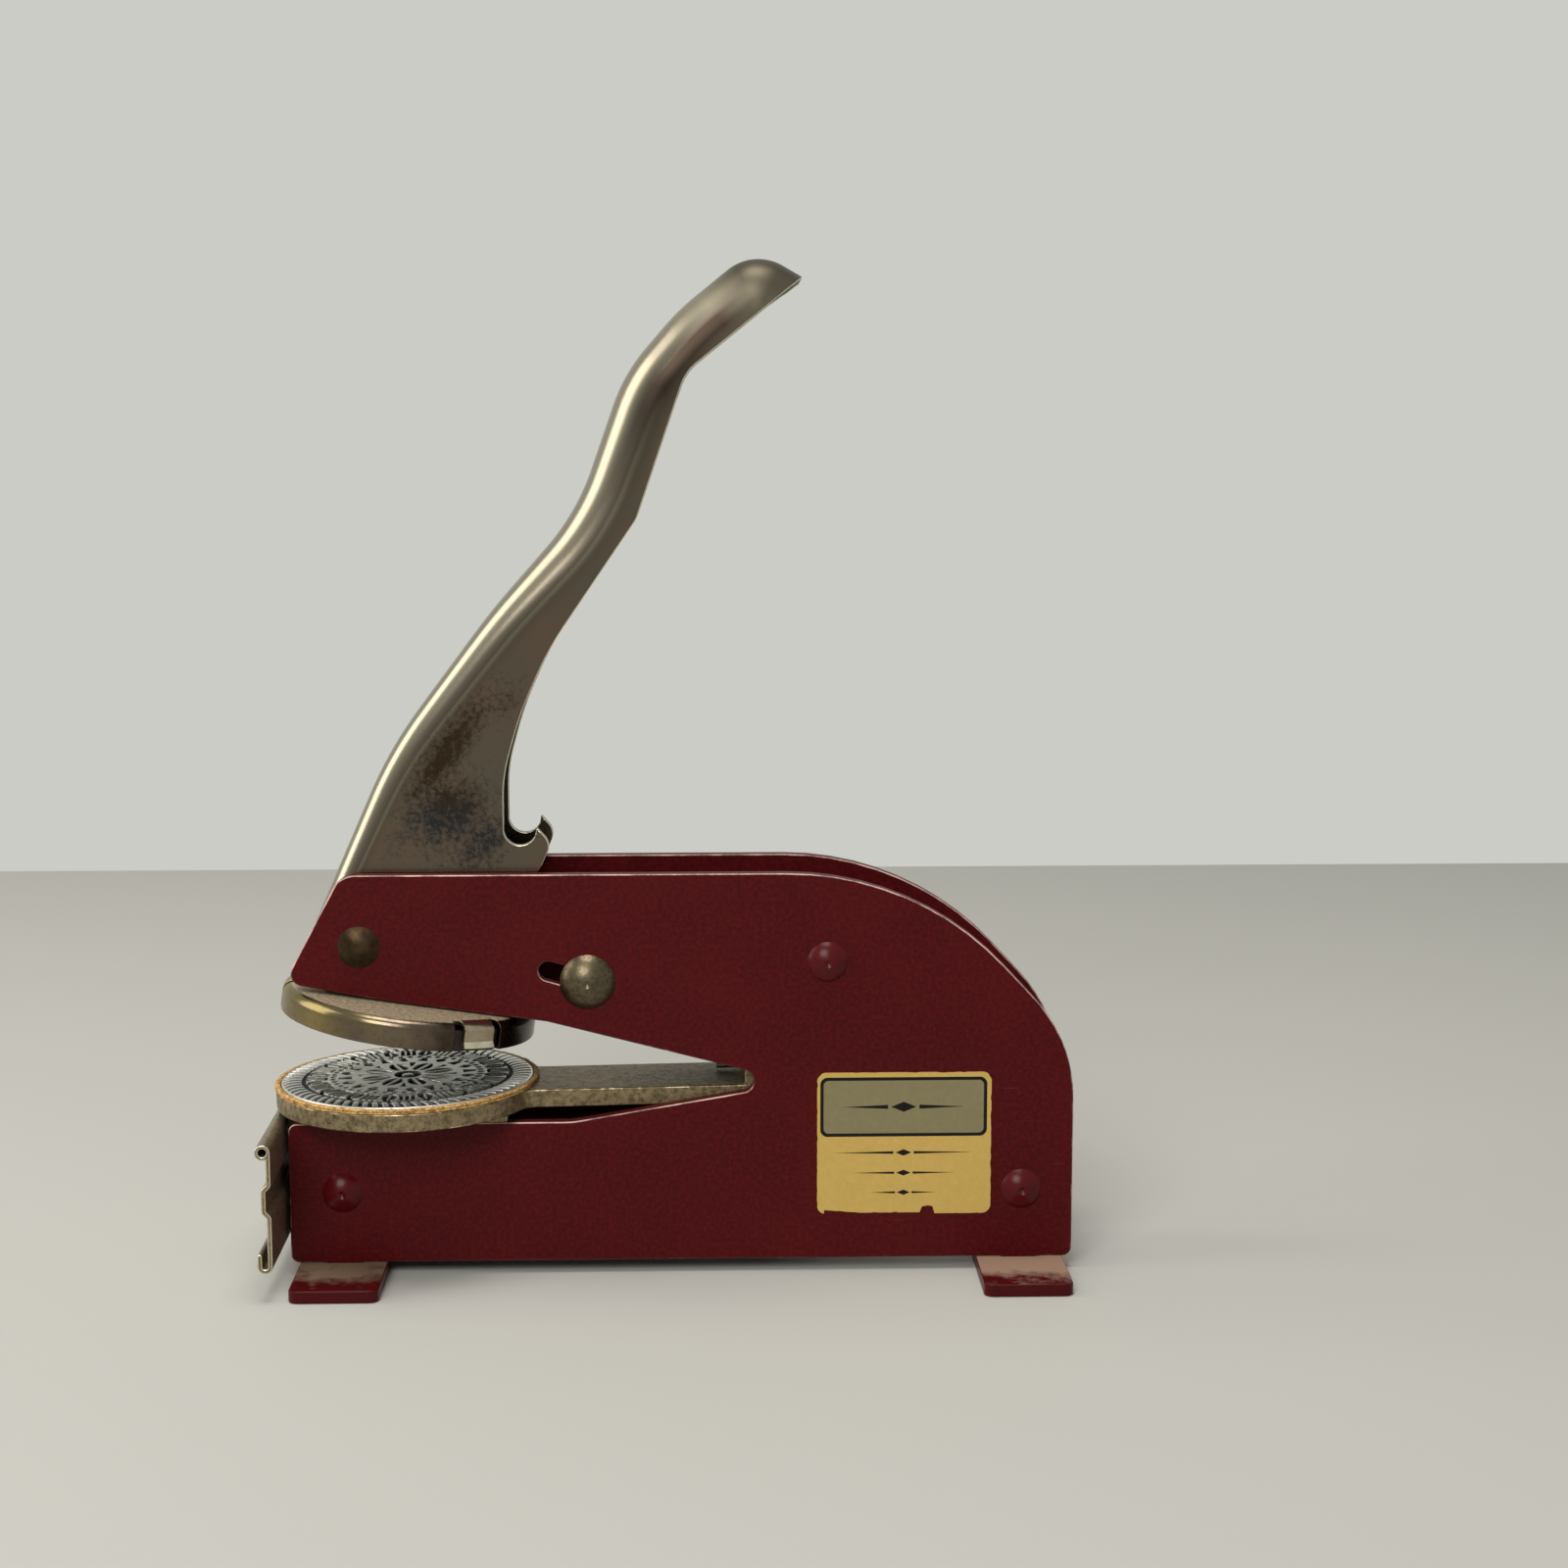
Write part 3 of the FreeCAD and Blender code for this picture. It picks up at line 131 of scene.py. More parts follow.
bench_matt, *_ = start_finish("matt_bench_laminate", Base_Color="#bcbcb7", Roughness=0.75)
bench_mesh = bpy.data.meshes.new("bench")
bench_corners = [(-1.3, -1.1, 0), (1.3, -1.1, 0), (1.3, 0.374, 0), (-1.3, 0.374, 0)]
bench_mesh.from_pydata(bench_corners, [], [(0, 1, 2, 3)])
bench_mesh.materials.append(bench_matt)
bench = bpy.data.objects.new("bench", bench_mesh)
bench.location.z = -0.02 * MM
bpy.context.collection.objects.link(bench)
bench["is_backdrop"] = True

for name, place, wide, tall, watts, tint in (
    ("front_lamp", (-0.32, -1.00, 0.78), 0.60, 0.60, 8.6, "#fffdfa"),
    ("overhead_lamp", (-0.04, -0.10, 0.85), 0.40, 0.40, 3.6, "#fffaf4"),
    ("left_lamp", (-0.66, 0.00, 0.36), 0.42, 0.60, 2.3, "#fffaf2"),
):
    lamp = bpy.data.objects.new(name, bpy.data.lights.new(name, "AREA"))
    lamp.data.shape = "RECTANGLE"
    lamp.data.size = wide
    lamp.data.size_y = tall
    lamp.data.energy = watts
    lamp.data.color = linear(tint)[:3]
    lamp.location = place
    lamp.rotation_euler = (Vector((0.0, 0.0, 0.06)) - Vector(place)).to_track_quat("-Z", "Y").to_euler()
    bpy.context.collection.objects.link(lamp)

# ---------------------------- side plates
# Two equal plates blanked from 2.4 mm sheet steel, with jaw, throat, lock slot, rivet holes and a
# tenon over each foot, dipped and stove enamelled. The blanked edges have lost their paint in places.
PLATE_FRONT = -62.15
PLATE_FOOT = 2.1
PLATE_THICK = 2.4
PLATE_IN = 8.1
PLATE_CORNERS = [
    (0, 0, 1.4), (5.55, 0, 0), (5.55, -2.0, 0), (11.55, -2.0, 0), (11.55, 0, 0),
    (115.95, 0, 0), (115.95, -2.0, 0), (121.95, -2.0, 0), (121.95, 0, 0),
    (127.5, 0, 1.4), (127.5, 36.05, 24.5), (101.8, 63.95, 48.0), (9.3, 63.95, 4.0),
    (0, 46.5, 2.0), (16.0, 43.5, 0), (42.0, 39.9, 0), (82.6, 29.4, 1.9), (46.0, 23.2, 15.0),
    (0, 23.2, 1.4),
]
RIVET_HOLES = [(8.6, 11.7, 1.78), (119.1, 11.4, 1.78), (87.4, 49.4, 1.78), (12.0, 52.3, 2.03)]
SLOT_REST = Vector((48.6, 46.4))
SLOT_RUN = 6.45
SLOT_TURN = math.radians(15.7)
SLOT_HALF = 1.6
SLOT_STEPS = 16
MARGIN = 0.6
SHORTEST = 0.15


def rounded(corners, turn=5.0):
    """Outline points (mm); each corner is (across, up, radius), rounded in steps of turn degrees."""
    points = []
    for index, (across, up, radius) in enumerate(corners):
        here = Vector((across, up))
        if not radius:
            points.append(here)
            continue
        back = (Vector(corners[index - 1][:2]) - here).normalized()
        ahead = (Vector(corners[(index + 1) % len(corners)][:2]) - here).normalized()
        half = back.angle(ahead) / 2
        centre = here + (back + ahead).normalized() * radius / math.sin(half)
        start = here + back * radius / math.tan(half) - centre
        end = here + ahead * radius / math.tan(half) - centre
        first = math.atan2(start.y, start.x)
        sweep = (math.atan2(end.y, end.x) - first + math.pi) % (2 * math.pi) - math.pi
        steps = min(abs(sweep) / math.radians(turn), abs(sweep) * radius / SHORTEST)
        steps = max(3, math.ceil(steps))
        for step in range(steps + 1):
            angle = first + sweep * step / steps
            points.append(centre + Vector((math.cos(angle), math.sin(angle))) * radius)
    return points


def divided(points, spacing):
    """The closed outline with no two neighbours further apart than the spacing (mm)."""
    finer = []
    for point, ahead in zip(points, points[1:] + points[:1]):
        run = max(1, math.ceil((ahead - point).length / spacing))
        finer += [point.lerp(ahead, step / run) for step in range(run)]
    return finer


def ring_of(across, up, radius, sides=36):
    """Points of a round hole in millimetres."""
    turns = [2 * math.pi / sides * i for i in range(sides)]
    return [Vector((across + radius * math.cos(turn), up + radius * math.sin(turn))) for turn in turns]


def add_piece(name, bm, *finishes):
    """Smooth-shaded object of a finished bmesh, with its materials."""
    mesh = bpy.data.meshes.new(name)
    bm.to_mesh(mesh)
    bm.free()
    mesh.shade_smooth()
    for finish in finishes:
        mesh.materials.append(finish)
    piece = bpy.data.objects.new(name, mesh)
    bpy.context.collection.objects.link(piece)
    return piece


def moved_in(loop, step):
    """The closed outline moved to its left by step (mm)."""
    moved = []
    for back, here, ahead in zip(loop[-1:] + loop[:-1], loop, loop[1:] + loop[:1]):
        before, after = (here - back).normalized(), (ahead - here).normalized()
        left = Vector((-before.y - after.y, before.x + after.x)).normalized()
        moved.append(here + left * step / max(0.5, left.dot(Vector((-before.y, before.x)))))
    return moved


def thickened(bm, lift):
    """Gives the faces of a bmesh in millimetres their thickness, and turns it to metres."""
    wall = bmesh.ops.extrude_face_region(bm, geom=bm.faces[:])["geom"]
    bmesh.ops.translate(bm, verts=[item for item in wall if isinstance(item, bmesh.types.BMVert)], vec=lift)
    bmesh.ops.scale(bm, verts=bm.verts, vec=(MM, MM, MM))
    bmesh.ops.recalc_face_normals(bm, faces=bm.faces)


def blanked(loops, low, thick, standing=True):
    """Bmesh of a sheet blank from low up (mm): an outline and its holes, with margins for the bevel."""
    bm = bmesh.new()
    margins = []
    for number, loop in enumerate(loops):
        turned = sum(here.cross(ahead) for here, ahead in zip(loop, loop[1:] + loop[:1]))
        step = math.copysign(MARGIN, turned if number == 0 else -turned)
        cut, margin = ([bm.verts.new((p.x, low, p.y) if standing else (p.x, p.y, low)) for p in line]
                       for line in (loop, moved_in(loop, step)))
        for a, b, c, d in zip(cut, cut[1:] + cut[:1], margin[1:] + margin[:1], margin):
            bm.faces.new((a, b, c, d))
            margins.append(bm.edges.get((c, d)))
    bmesh.ops.triangle_fill(bm, use_beauty=True, edges=margins)
    thickened(bm, (0, thick, 0) if standing else (0, 0, thick))
    return bm


def break_edges(piece, width, turn=35, finish=0):
    """Rounds the sharp edges of a piece, as paint or tumbling does; width in millimetres."""
    bevel = piece.modifiers.new("broken_edges", "BEVEL")
    bevel.width = width * MM
    bevel.segments = 2
    bevel.limit_method = "ANGLE"
    bevel.angle_limit = math.radians(turn)
    bevel.harden_normals = True
    bevel.use_clamp_overlap = False
    bevel.material = finish


# Stove enamel over steel: a deep maroon skin, half gloss, with the fine orange peel of a dipped and
# baked coat (0.7 mm) and broad faint clouds; a few short scuffs have gone pale.
enamel, tree, shader, spot = start_finish("stove_enamel_maroon", Specular_IOR_Level=0.12)
peel = add(tree, "TexNoise", {"Vector": spot, "Scale": 1000 / 0.7, "Detail": 3.0})
cloud = add(tree, "TexNoise", {"Vector": spot, "Scale": 1000 / 14.0, "Detail": 4.0})
skin = add(tree, "Mix", {0: cloud, 6: "#3a0407", 7: "#4f090d"}, data_type="RGBA")
grain = add(tree, "MapRange", {"Value": peel, "From Min": 0.4, "From Max": 0.68, "To Max": 0.4})
speck = add(tree, "Mix", {0: grain, 6: skin, 7: "#6c1218"}, data_type="RGBA")
stretch = (1000 / 9.0, 1000 / 9.0, 1000 / 0.5)
turned = add(tree, "Mapping", {"Vector": spot, "Rotation": (0.0, 0.5, 0.0), "Scale": stretch})
scuff = add(tree, "TexNoise", {"Vector": turned, "Scale": 1.0, "Detail": 1.0})
scuffed = add(tree, "MapRange", {"Value": scuff, "From Min": 0.76, "From Max": 0.8, "To Max": 0.15})
coat = add(tree, "Mix", {0: scuffed, 6: speck, 7: "#8a5652"}, data_type="RGBA")
sheen = add(tree, "MapRange", {"Value": cloud, "To Min": 0.36, "To Max": 0.52})
bump = add(tree, "Bump", {"Height": peel, "Strength": 0.35, "Distance": 0.05 * MM})
plug(tree, shader, {"Base Color": coat, "Roughness": sheen, "Normal": bump})

# The same enamel where it has rubbed through on the blanked edges: a thin broken pink-grey line of
# primer and bare steel, in runs of 2 to 10 mm. The edges that look up get more of the pale line, as a
# painted highlight where they catch the light from above.
edge_wear_and_highlight, tree, shader, spot = start_finish("enamel_edge_wear_and_highlight", Roughness=0.45)
runs = add(tree, "TexNoise", {"Vector": spot, "Scale": 1000 / 6.0, "Detail": 6.0, "Roughness": 0.7})
facing = add(tree, "SeparateXYZ", {"Vector": add(tree, "NewGeometry").outputs["Normal"]})
# Painted highlight: the more an edge looks up, the more of the pale line it gets.
upward_painted_highlight = add(tree, "MapRange", {"Value": facing.outputs["Z"], "From Min": -0.2, "From Max": 0.6,
                                "To Min": -0.14, "To Max": 0.12})
wear_and_highlight = add(tree, "Math", {0: runs, 1: upward_painted_highlight}, operation="ADD")
bare_and_highlight = add(tree, "MapRange", {"Value": wear_and_highlight, "From Min": 0.43, "From Max": 0.68})
line = add(tree, "Mix", {0: bare_and_highlight, 6: "#4a0a0f", 7: "#dcb7ac"}, data_type="RGBA")
plug(tree, shader, {"Base Color": line})

slot_far = SLOT_REST + Vector((-math.cos(SLOT_TURN), math.sin(SLOT_TURN))) * SLOT_RUN
slot = []
for centre, first in ((SLOT_REST, -math.pi / 2), (slot_far, math.pi / 2)):
    for step in range(SLOT_STEPS + 1):
        angle = first - SLOT_TURN + math.pi * step / SLOT_STEPS
        slot.append(centre + Vector((math.cos(angle), math.sin(angle))) * SLOT_HALF)
plate_loops = [rounded(PLATE_CORNERS), slot] + [ring_of(*hole) for hole in RIVET_HOLES]
plate_loops = [[p + Vector((PLATE_FRONT, PLATE_FOOT)) for p in loop] for loop in plate_loops]
for name, low in (("right_side_plate", -PLATE_IN - PLATE_THICK), ("left_side_plate", PLATE_IN)):
    sheet = blanked(plate_loops, low, PLATE_THICK)
    plate = add_piece(name.replace("side_plate", "cheek"), sheet, enamel, edge_wear_and_highlight)
    break_edges(plate, 0.2, finish=1)
    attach(plate, "frame")
    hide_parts(name)

# ---------------------------- feet
# Two flat bars, 50 by 14.3 by 2.1 mm, slotted for the plates' tenons and dipped in the same enamel.
# Their tops have gathered a dry grey-brown film of dust, thickest by the plates, rubbed off at the ends.
dusty, tree, shader, spot = start_finish("dusty_stove_enamel", Specular_IOR_Level=0.14)
peel = add(tree, "TexNoise", {"Vector": spot, "Scale": 1000 / 0.6, "Detail": 3.0})
drift = add(tree, "TexNoise", {"Vector": spot, "Scale": 1000 / 4.0, "Detail": 6.0, "Roughness": 0.65})
facing = add(tree, "SeparateXYZ", {"Vector": add(tree, "NewGeometry").outputs["Normal"]})
level = add(tree, "MapRange", {"Value": facing.outputs["Z"], "From Min": 0.75})
place = add(tree, "SeparateXYZ", {"Vector": spot})
aside = add(tree, "Math", {0: place.outputs["Y"]}, operation="ABSOLUTE")
towards_end = add(tree, "MapRange", {"Value": aside, "From Min": 16 * MM, "From Max": 23 * MM,
                                     "To Min": 0.2, "To Max": -0.24})
rear_half = add(tree, "MapRange", {"Value": place.outputs["X"], "From Min": -10 * MM, "From Max": 10 * MM})
lying = add(tree, "Math", {0: drift, 1: towards_end}, operation="ADD")
lying = add(tree, "Math", {0: rear_half, 1: 0.1, 2: lying}, operation="MULTIPLY_ADD")
film = add(tree, "MapRange", {"Value": lying, "From Min": 0.36, "From Max": 0.66, "To Max": 0.9})
dust = add(tree, "Math", {0: level, 1: film}, operation="MULTIPLY")
under = add(tree, "Mix", {0: peel, 6: "#3a0508", 7: "#500a0f"}, data_type="RGBA")
grime = add(tree, "Mix", {0: rear_half, 6: "#7a6754", 7: "#9c806d"}, data_type="RGBA")
top = add(tree, "Mix", {0: dust, 6: under, 7: grime}, data_type="RGBA")
dull = add(tree, "MapRange", {"Value": dust, "To Min": 0.34, "To Max": 0.85})
plug(tree, shader, {"Base Color": top, "Roughness": dull})

FOOT_HALF = (7.15, 25.0)
FOOT_THICK = 2.1
TENON_CUT_HALF = (3.05, 1.25)
CORNERS = ((-1, -1), (1, -1), (1, 1), (-1, 1))
for name, middle in (("front_foot", -53.6), ("rear_foot", 56.8)):
    outline = rounded([(middle + x * FOOT_HALF[0], y * FOOT_HALF[1], 1.5) for x, y in CORNERS], turn=9.0)
    cut = [(x * TENON_CUT_HALF[0], PLATE_IN + PLATE_THICK / 2 + y * TENON_CUT_HALF[1]) for x, y in CORNERS]
    loops = [outline] + [[Vector((middle + x, side * y)) for x, y in cut] for side in (-1, 1)]
    bar = add_piece(name + "_bar", blanked(loops, 0.0, FOOT_THICK, standing=False), dusty)
    break_edges(bar, 0.25)
    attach(bar, "frame")
    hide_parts(name)


# ---------------------------- frame rivets and spacer tubes
# Three domed rivets, dimpled by the setting punch, join the plates over steel tubes. Their heads were
# enamelled with the plates and lie smoother, so they shine more than the flat sheet.
def dress(node, finish):
    """Gives a carried-over CAD node its finish."""
    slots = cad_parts[node].material_slots
    if not slots:
        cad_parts[node].data.materials.append(finish)
    for entry in slots:
        entry.material = finish


head_enamel, tree, shader, spot = start_finish("brushed_on_enamel", Roughness=0.26, Specular_IOR_Level=0.18)
flow = add(tree, "TexNoise", {"Vector": spot, "Scale": 1000 / 1.6, "Detail": 3.0})
pool = add(tree, "Mix", {0: flow, 6: "#44070b", 7: "#580c11"}, data_type="RGBA")
wave = add(tree, "Bump", {"Height": flow, "Strength": 0.12, "Distance": 0.08 * MM})
plug(tree, shader, {"Base Color": pool, "Normal": wave})
dress("frame_rivets", head_enamel)

# Bright drawn steel gone dull with old oil: grey-brown, in cloudy films about 2.5 mm across.
oiled, tree, shader, spot = start_finish("oiled_steel", Metallic=1.0)
film = add(tree, "TexNoise", {"Vector": spot, "Scale": 1000 / 2.5, "Detail": 4.0})
metal = add(tree, "Mix", {0: film, 6: "#5a5148", 7: "#8d8373"}, data_type="RGBA")
soft = add(tree, "MapRange", {"Value": film, "To Min": 0.3, "To Max": 0.5})
plug(tree, shader, {"Base Color": metal, "Roughness": soft})
for node in ("frame_spacers", "pivot_sleeve", "thrust_washers", "hinge_pin"):
    dress(node, oiled)

# ---------------------------- lever
# A channel folded from 1.5 mm sheet, open at the back: flat beside the hook, then rounded more and
# more towards the grip. It turns on the pivot, from which its corners (across, up, radius) are measured.
PIVOT = Vector((-50.15, 54.4))
LEVER_HALF = 7.4
LEVER_SHEET = 1.5
WEB_CROWN = 0.12
FOLD_LEAST = 3.8
FOLD_DEEPER = 4.4
FOLD_WIDER = 2.4
OVAL = 2.2
GRID = 1.3
LEVER_FRONT = [(-10.1, -2.6, 0), (4.8, 31.1, 70), (21.4, 53.2, 120), (35.3, 68.9, 38), (43.1, 91.0, 28),
               (51.8, 101.0, 40), (63.8, 110.6, 7.7), (71.5, 106.2, 0)]
LEVER_BACK = [(52.9, 91.3, 8), (44.9, 68.1, 3), (30.8, 47.5, 50), (26.1, 37.0, 50), (23.3, 27.0, 25),
              (23.3, 15.9, 2.59), (28.5, 15.9, 2.59), (28.5, 18.9, 0.15), (30.9, 16.2, 2.5), (28.7, 10.9, 8),
              (11.7, 1.6, 0)]
NOSE = Vector((13.5, -2.02))
NOSE_RADIUS = 4.0
BORE_RADIUS = 3.05

outline = rounded(LEVER_FRONT + LEVER_BACK, turn=1.5)
outline += [NOSE + Vector((math.cos(math.radians(a)), math.sin(math.radians(a)))) * NOSE_RADIUS
            for a in range(110, -91, -10)] + [Vector((0.0, -5.0))]
outline = divided(outline, 1.0)
grip_end = min(range(len(outline)), key=lambda i: (outline[i] - Vector(LEVER_FRONT[-1][:2])).length)
front = outline[:grip_end + 1]
lengths = [0.0]
for here, ahead in zip(front, front[1:]):
    lengths.append(lengths[-1] + (ahead - here).length)


def from_front(point):
    """Distance (mm) of a flank's point from the front edge, and its share of the way up to the grip's end."""
    best = (1e9, 0.0)
    for i, (here, ahead) in enumerate(zip(front, front[1:])):
        run = ahead - here
        share = min(max((point - here).dot(run) / run.length_squared, 0.0), 1.0)
        gap = (point - here - run * share).length
        if gap < best[0]:
            best = (gap, (lengths[i] + run.length * share) / lengths[-1])
    return best


def fold_size(share):
    """Depth along the flank and reach across the web of the fold's rounding, in millimetres."""
    swell = min(max((share - 0.30) / 0.45, 0.0), 1.0)
    swell = swell * swell * (3 - 2 * swell)
    return FOLD_LEAST + FOLD_DEEPER * swell, FOLD_LEAST + FOLD_WIDER * swell


def half_width(gap, share):
    """Distance of the flank from the centre plane: a quarter of an oval, then flat."""
    depth, reach = fold_size(share)
    inside = min(gap / depth, 1.0)
    return LEVER_HALF - reach + reach * max(0.0, 1 - (1 - inside) ** OVAL) ** (1 / OVAL)


def holds(loop, point):
    """True if the point is inside the loop."""
    odd = False
    for here, ahead in zip(loop, loop[1:] + loop[:1]):
        if (here.y > point.y) != (ahead.y > point.y):
            odd ^= point.x < here.x + (point.y - here.y) * (ahead.x - here.x) / (ahead.y - here.y)
    return odd


rear = outline[grip_end:] + outline[:1]
inner = []
for i in range(1, len(front) - 1):
    heading = (front[i + 1] - front[i - 1]).normalized()
    inward = Vector((heading.y, -heading.x))
    depth = fold_size(lengths[i] / lengths[-1])[0]
    for turn in range(12, 91, 13):
        gap = depth * (1 - math.cos(math.radians(turn)))
        point = front[i] + inward * gap
        if holds(outline, point) and min((point - edge).length for edge in rear) > 0.5:
            inner.append(point)
for column in range(-8, 74):
    for row in range(-4, 113):
        point = Vector((column * GRID, row * GRID))
        if holds(outline, point):
            gap, share = from_front(point)
            if gap > fold_size(share)[0] + 0.5 and min((point - edge).length for edge in rear) > 0.6 \
                    and point.length > BORE_RADIUS + 0.5:
                inner.append(point)
bore = ring_of(0, 0, BORE_RADIUS)
count = len(outline)
ties = [(i, (i + 1) % count) for i in range(count)]
ties += [(count + i, count + (i + 1) % len(bore)) for i in range(len(bore))]
flat, _, triangles, origins, *_ = delaunay_2d_cdt(outline + bore + inner, ties, [], 0, 1e-4)
flank = []
for triangle in triangles:
    a, b, c = (flat[i] for i in triangle)
    centre = (a + b + c) / 3
    if centre.length > BORE_RADIUS and abs((b - a).cross(c - a)) > 0.002 and holds(outline, centre):
        flank.append(triangle)
measured = [from_front(point) for point in flat]

bm = bmesh.new()
fold_gap = bm.verts.layers.float.new("gap_from_fold")
fold_share = bm.verts.layers.float.new("share_of_lever")


def lever_point(point, side, gap, share):
    """Vertex of the lever at an outline point (mm from the pivot), side mm across."""
    vert = bm.verts.new(((PIVOT.x + point.x) * MM, side * MM, (PIVOT.y + point.y) * MM))
    vert[fold_gap] = gap * MM
    vert[fold_share] = share
    return vert


sides = []
for side in (-1, 1):
    verts = [lever_point(point, side * half_width(*at), *at) for point, at in zip(flat, measured)]
    for triangle in flank:
        bm.faces.new([verts[i] for i in (triangle if side < 0 else reversed(triangle))])
    sides.append(verts)
place_of = {source: i for i, sources in enumerate(origins) for source in sources}
last = None
for i in range(len(front)):
    near, far = (verts[place_of[i]] for verts in sides)
    before, after = front[max(i - 1, 0)], front[min(i + 1, len(front) - 1)]
    heading = (after - before).normalized()
    outward = Vector((-heading.y, heading.x))
    across = half_width(0.0, lengths[i] / lengths[-1])
    row = [near]
    for step in range(1, 8):
        aside = across * (step / 4 - 1)
        crown = WEB_CROWN * (1 - (aside / across) ** 2)
        row.append(lever_point(front[i] + outward * crown, aside, 0.0, lengths[i] / lengths[-1]))
    row.append(far)
    if last:
        for a, b, c, d in zip(last, last[1:], row[1:], row):
            bm.faces.new((a, b, c, d))
    last = row
bmesh.ops.delete(bm, geom=[vert for vert in bm.verts if not vert.link_faces], context="VERTS")
bmesh.ops.recalc_face_normals(bm, faces=bm.faces)
if max(bm.faces, key=lambda face: -face.calc_center_median().y).normal.y > 0:
    bmesh.ops.reverse_faces(bm, faces=bm.faces)

# Nickel plate over steel, paler along the fold up to the grip, partly polished by hands and partly painted
# reflection: a pale band, darker bands beyond it and a lighter line further out. The grip's flank is painted
# darker as shade, and the grip's end is a flat darker grey-olive. The flanks are brown and cloudy, partly
# tarnish and partly painted dark reflection, with a mottled rust-brown stain and a blue-black bloom by the
# hook.
nickel, tree, shader, spot = start_finish("nickel_tarnish_and_painted_reflections", Metallic=1.0)
haze = add(tree, "TexNoise", {"Vector": spot, "Scale": 1000 / 11.0, "Detail": 5.0, "Roughness": 0.6})
fleck = add(tree, "TexNoise", {"Vector": spot, "Scale": 1000 / 0.9, "Detail": 6.0, "Roughness": 0.8})
gap = add(tree, "Attribute", attribute_name="gap_from_fold").outputs["Fac"]
rise = add(tree, "Attribute", attribute_name="share_of_lever").outputs["Fac"]
cloud = add(tree, "MapRange", {"Value": haze, "From Min": 0.35, "From Max": 0.65})
# The flanks' brown is partly tarnish and partly painted dark reflection.
dull = add(tree, "Mix", {0: cloud, 6: "#5f594e", 7: "#68594b"}, data_type="RGBA")
band = add(tree, "MapRange", {"Value": rise, "From Min": 0.1, "From Max": 0.75, "To Min": 3.6 * MM,
                              "To Max": 7.5 * MM})
across = add(tree, "Math", {0: gap, 1: band}, operation="DIVIDE")
# Painted reflection: pale and darker bands across the fold, with a lighter line at 0.88 of the way out.
ramp = add(tree, "ValToRGB", {"Fac": across})
stops = ramp.color_ramp.elements
for place, shade in ((0.0, "#a09784"), (0.3, "#a69e8a"), (0.5, "#81796a"), (0.64, "#6a6256"),
                     (0.8, "#5c5549"), (0.88, "#777061"), (1.0, "#595043")):
    stop = stops[-int(place)] if place in (0.0, 1.0) else stops.new(place)
    stop.color = linear(shade)
# Painted shade: the grip's flank beside the fold is darkened.
beside = add(tree, "MapRange", {"Value": across, "From Min": 0.35, "From Max": 0.6})
up_the_grip = add(tree, "MapRange", {"Value": rise, "From Min": 0.6, "From Max": 0.76})
grip_flank_painted_shade = add(tree, "Math", {0: beside, 1: up_the_grip}, operation="MULTIPLY")
grip = add(tree, "Mix", {0: grip_flank_painted_shade, 6: ramp, 7: "#302821"}, data_type="RGBA")
flat_side = add(tree, "MapRange", {"Value": across, "From Min": 0.85, "From Max": 1.25})
tone = add(tree, "Mix", {0: flat_side, 6: grip, 7: dull}, data_type="RGBA")
# The grip's end is given a flat darker grey-olive.
grip_end_tone = add(tree, "MapRange", {"Value": rise, "From Min": 0.87, "From Max": 0.92})
tone = add(tree, "Mix", {0: grip_end_tone, 6: tone, 7: "#544f43"}, data_type="RGBA")
stain = None
for along, up, turn, wide, tall, strength in (
    (-35.6, 85.5, 0.95, 17.0, 4.0, 0.38),
    (-35.6, 75.8, 0.5, 10.5, 8.5, 0.37),
    (-30.2, 71.0, 0.7, 9.0, 5.5, 0.32),
    (-26.6, 93.5, 0.9, 6.5, 3.5, 0.22),
    (-41.0, 76.0, 1.05, 14.0, 3.0, 0.24),
):
    middle = (along * MM, -LEVER_HALF * MM, up * MM)
    moved = add(tree, "VectorMath", {0: spot, 1: middle}, operation="SUBTRACT")
    laid = add(tree, "VectorRotate", {"Vector": moved, "Angle": turn}, rotation_type="Y_AXIS")
    shrunk = add(tree, "VectorMath", {0: laid, 1: (1000 / wide, 1000 / 30.0, 1000 / tall)},
                 operation="MULTIPLY")
    off = add(tree, "VectorMath", {0: shrunk}, operation="LENGTH")
    spread = add(tree, "MapRange", {"Value": off, "From Min": 1.15, "From Max": 0.2, "To Max": strength})
    stain = spread if stain is None else add(tree, "Math", {0: stain, 1: spread}, operation="MAXIMUM")
blot = add(tree, "Math", {0: stain, 1: fleck}, operation="ADD")
stained = add(tree, "MapRange", {"Value": blot, "From Min": 0.62, "From Max": 0.86})
bloom = add(tree, "SeparateXYZ", {"Vector": spot})
bluish = add(tree, "MapRange", {"Value": bloom.outputs["Z"], "From Min": 80 * MM, "From Max": 74 * MM})
rust = add(tree, "Mix", {0: bluish, 6: "#34291d", 7: "#2c2e30"}, data_type="RGBA")
plating = add(tree, "Mix", {0: stained, 6: tone, 7: rust}, data_type="RGBA")
matt = add(tree, "MapRange", {"Value": stained, "To Min": 0.24, "To Max": 0.5})
greasy = add(tree, "MapRange", {"Value": rise, "From Min": 0.8, "From Max": 0.92, "To Max": 0.2})
matt = add(tree, "Math", {0: matt, 1: greasy}, operation="ADD")
pits = add(tree, "Bump", {"Height": fleck, "Strength": 0.1, "Distance": 0.05 * MM})
plug(tree, shader, {"Base Color": plating, "Roughness": matt, "Normal": pits})

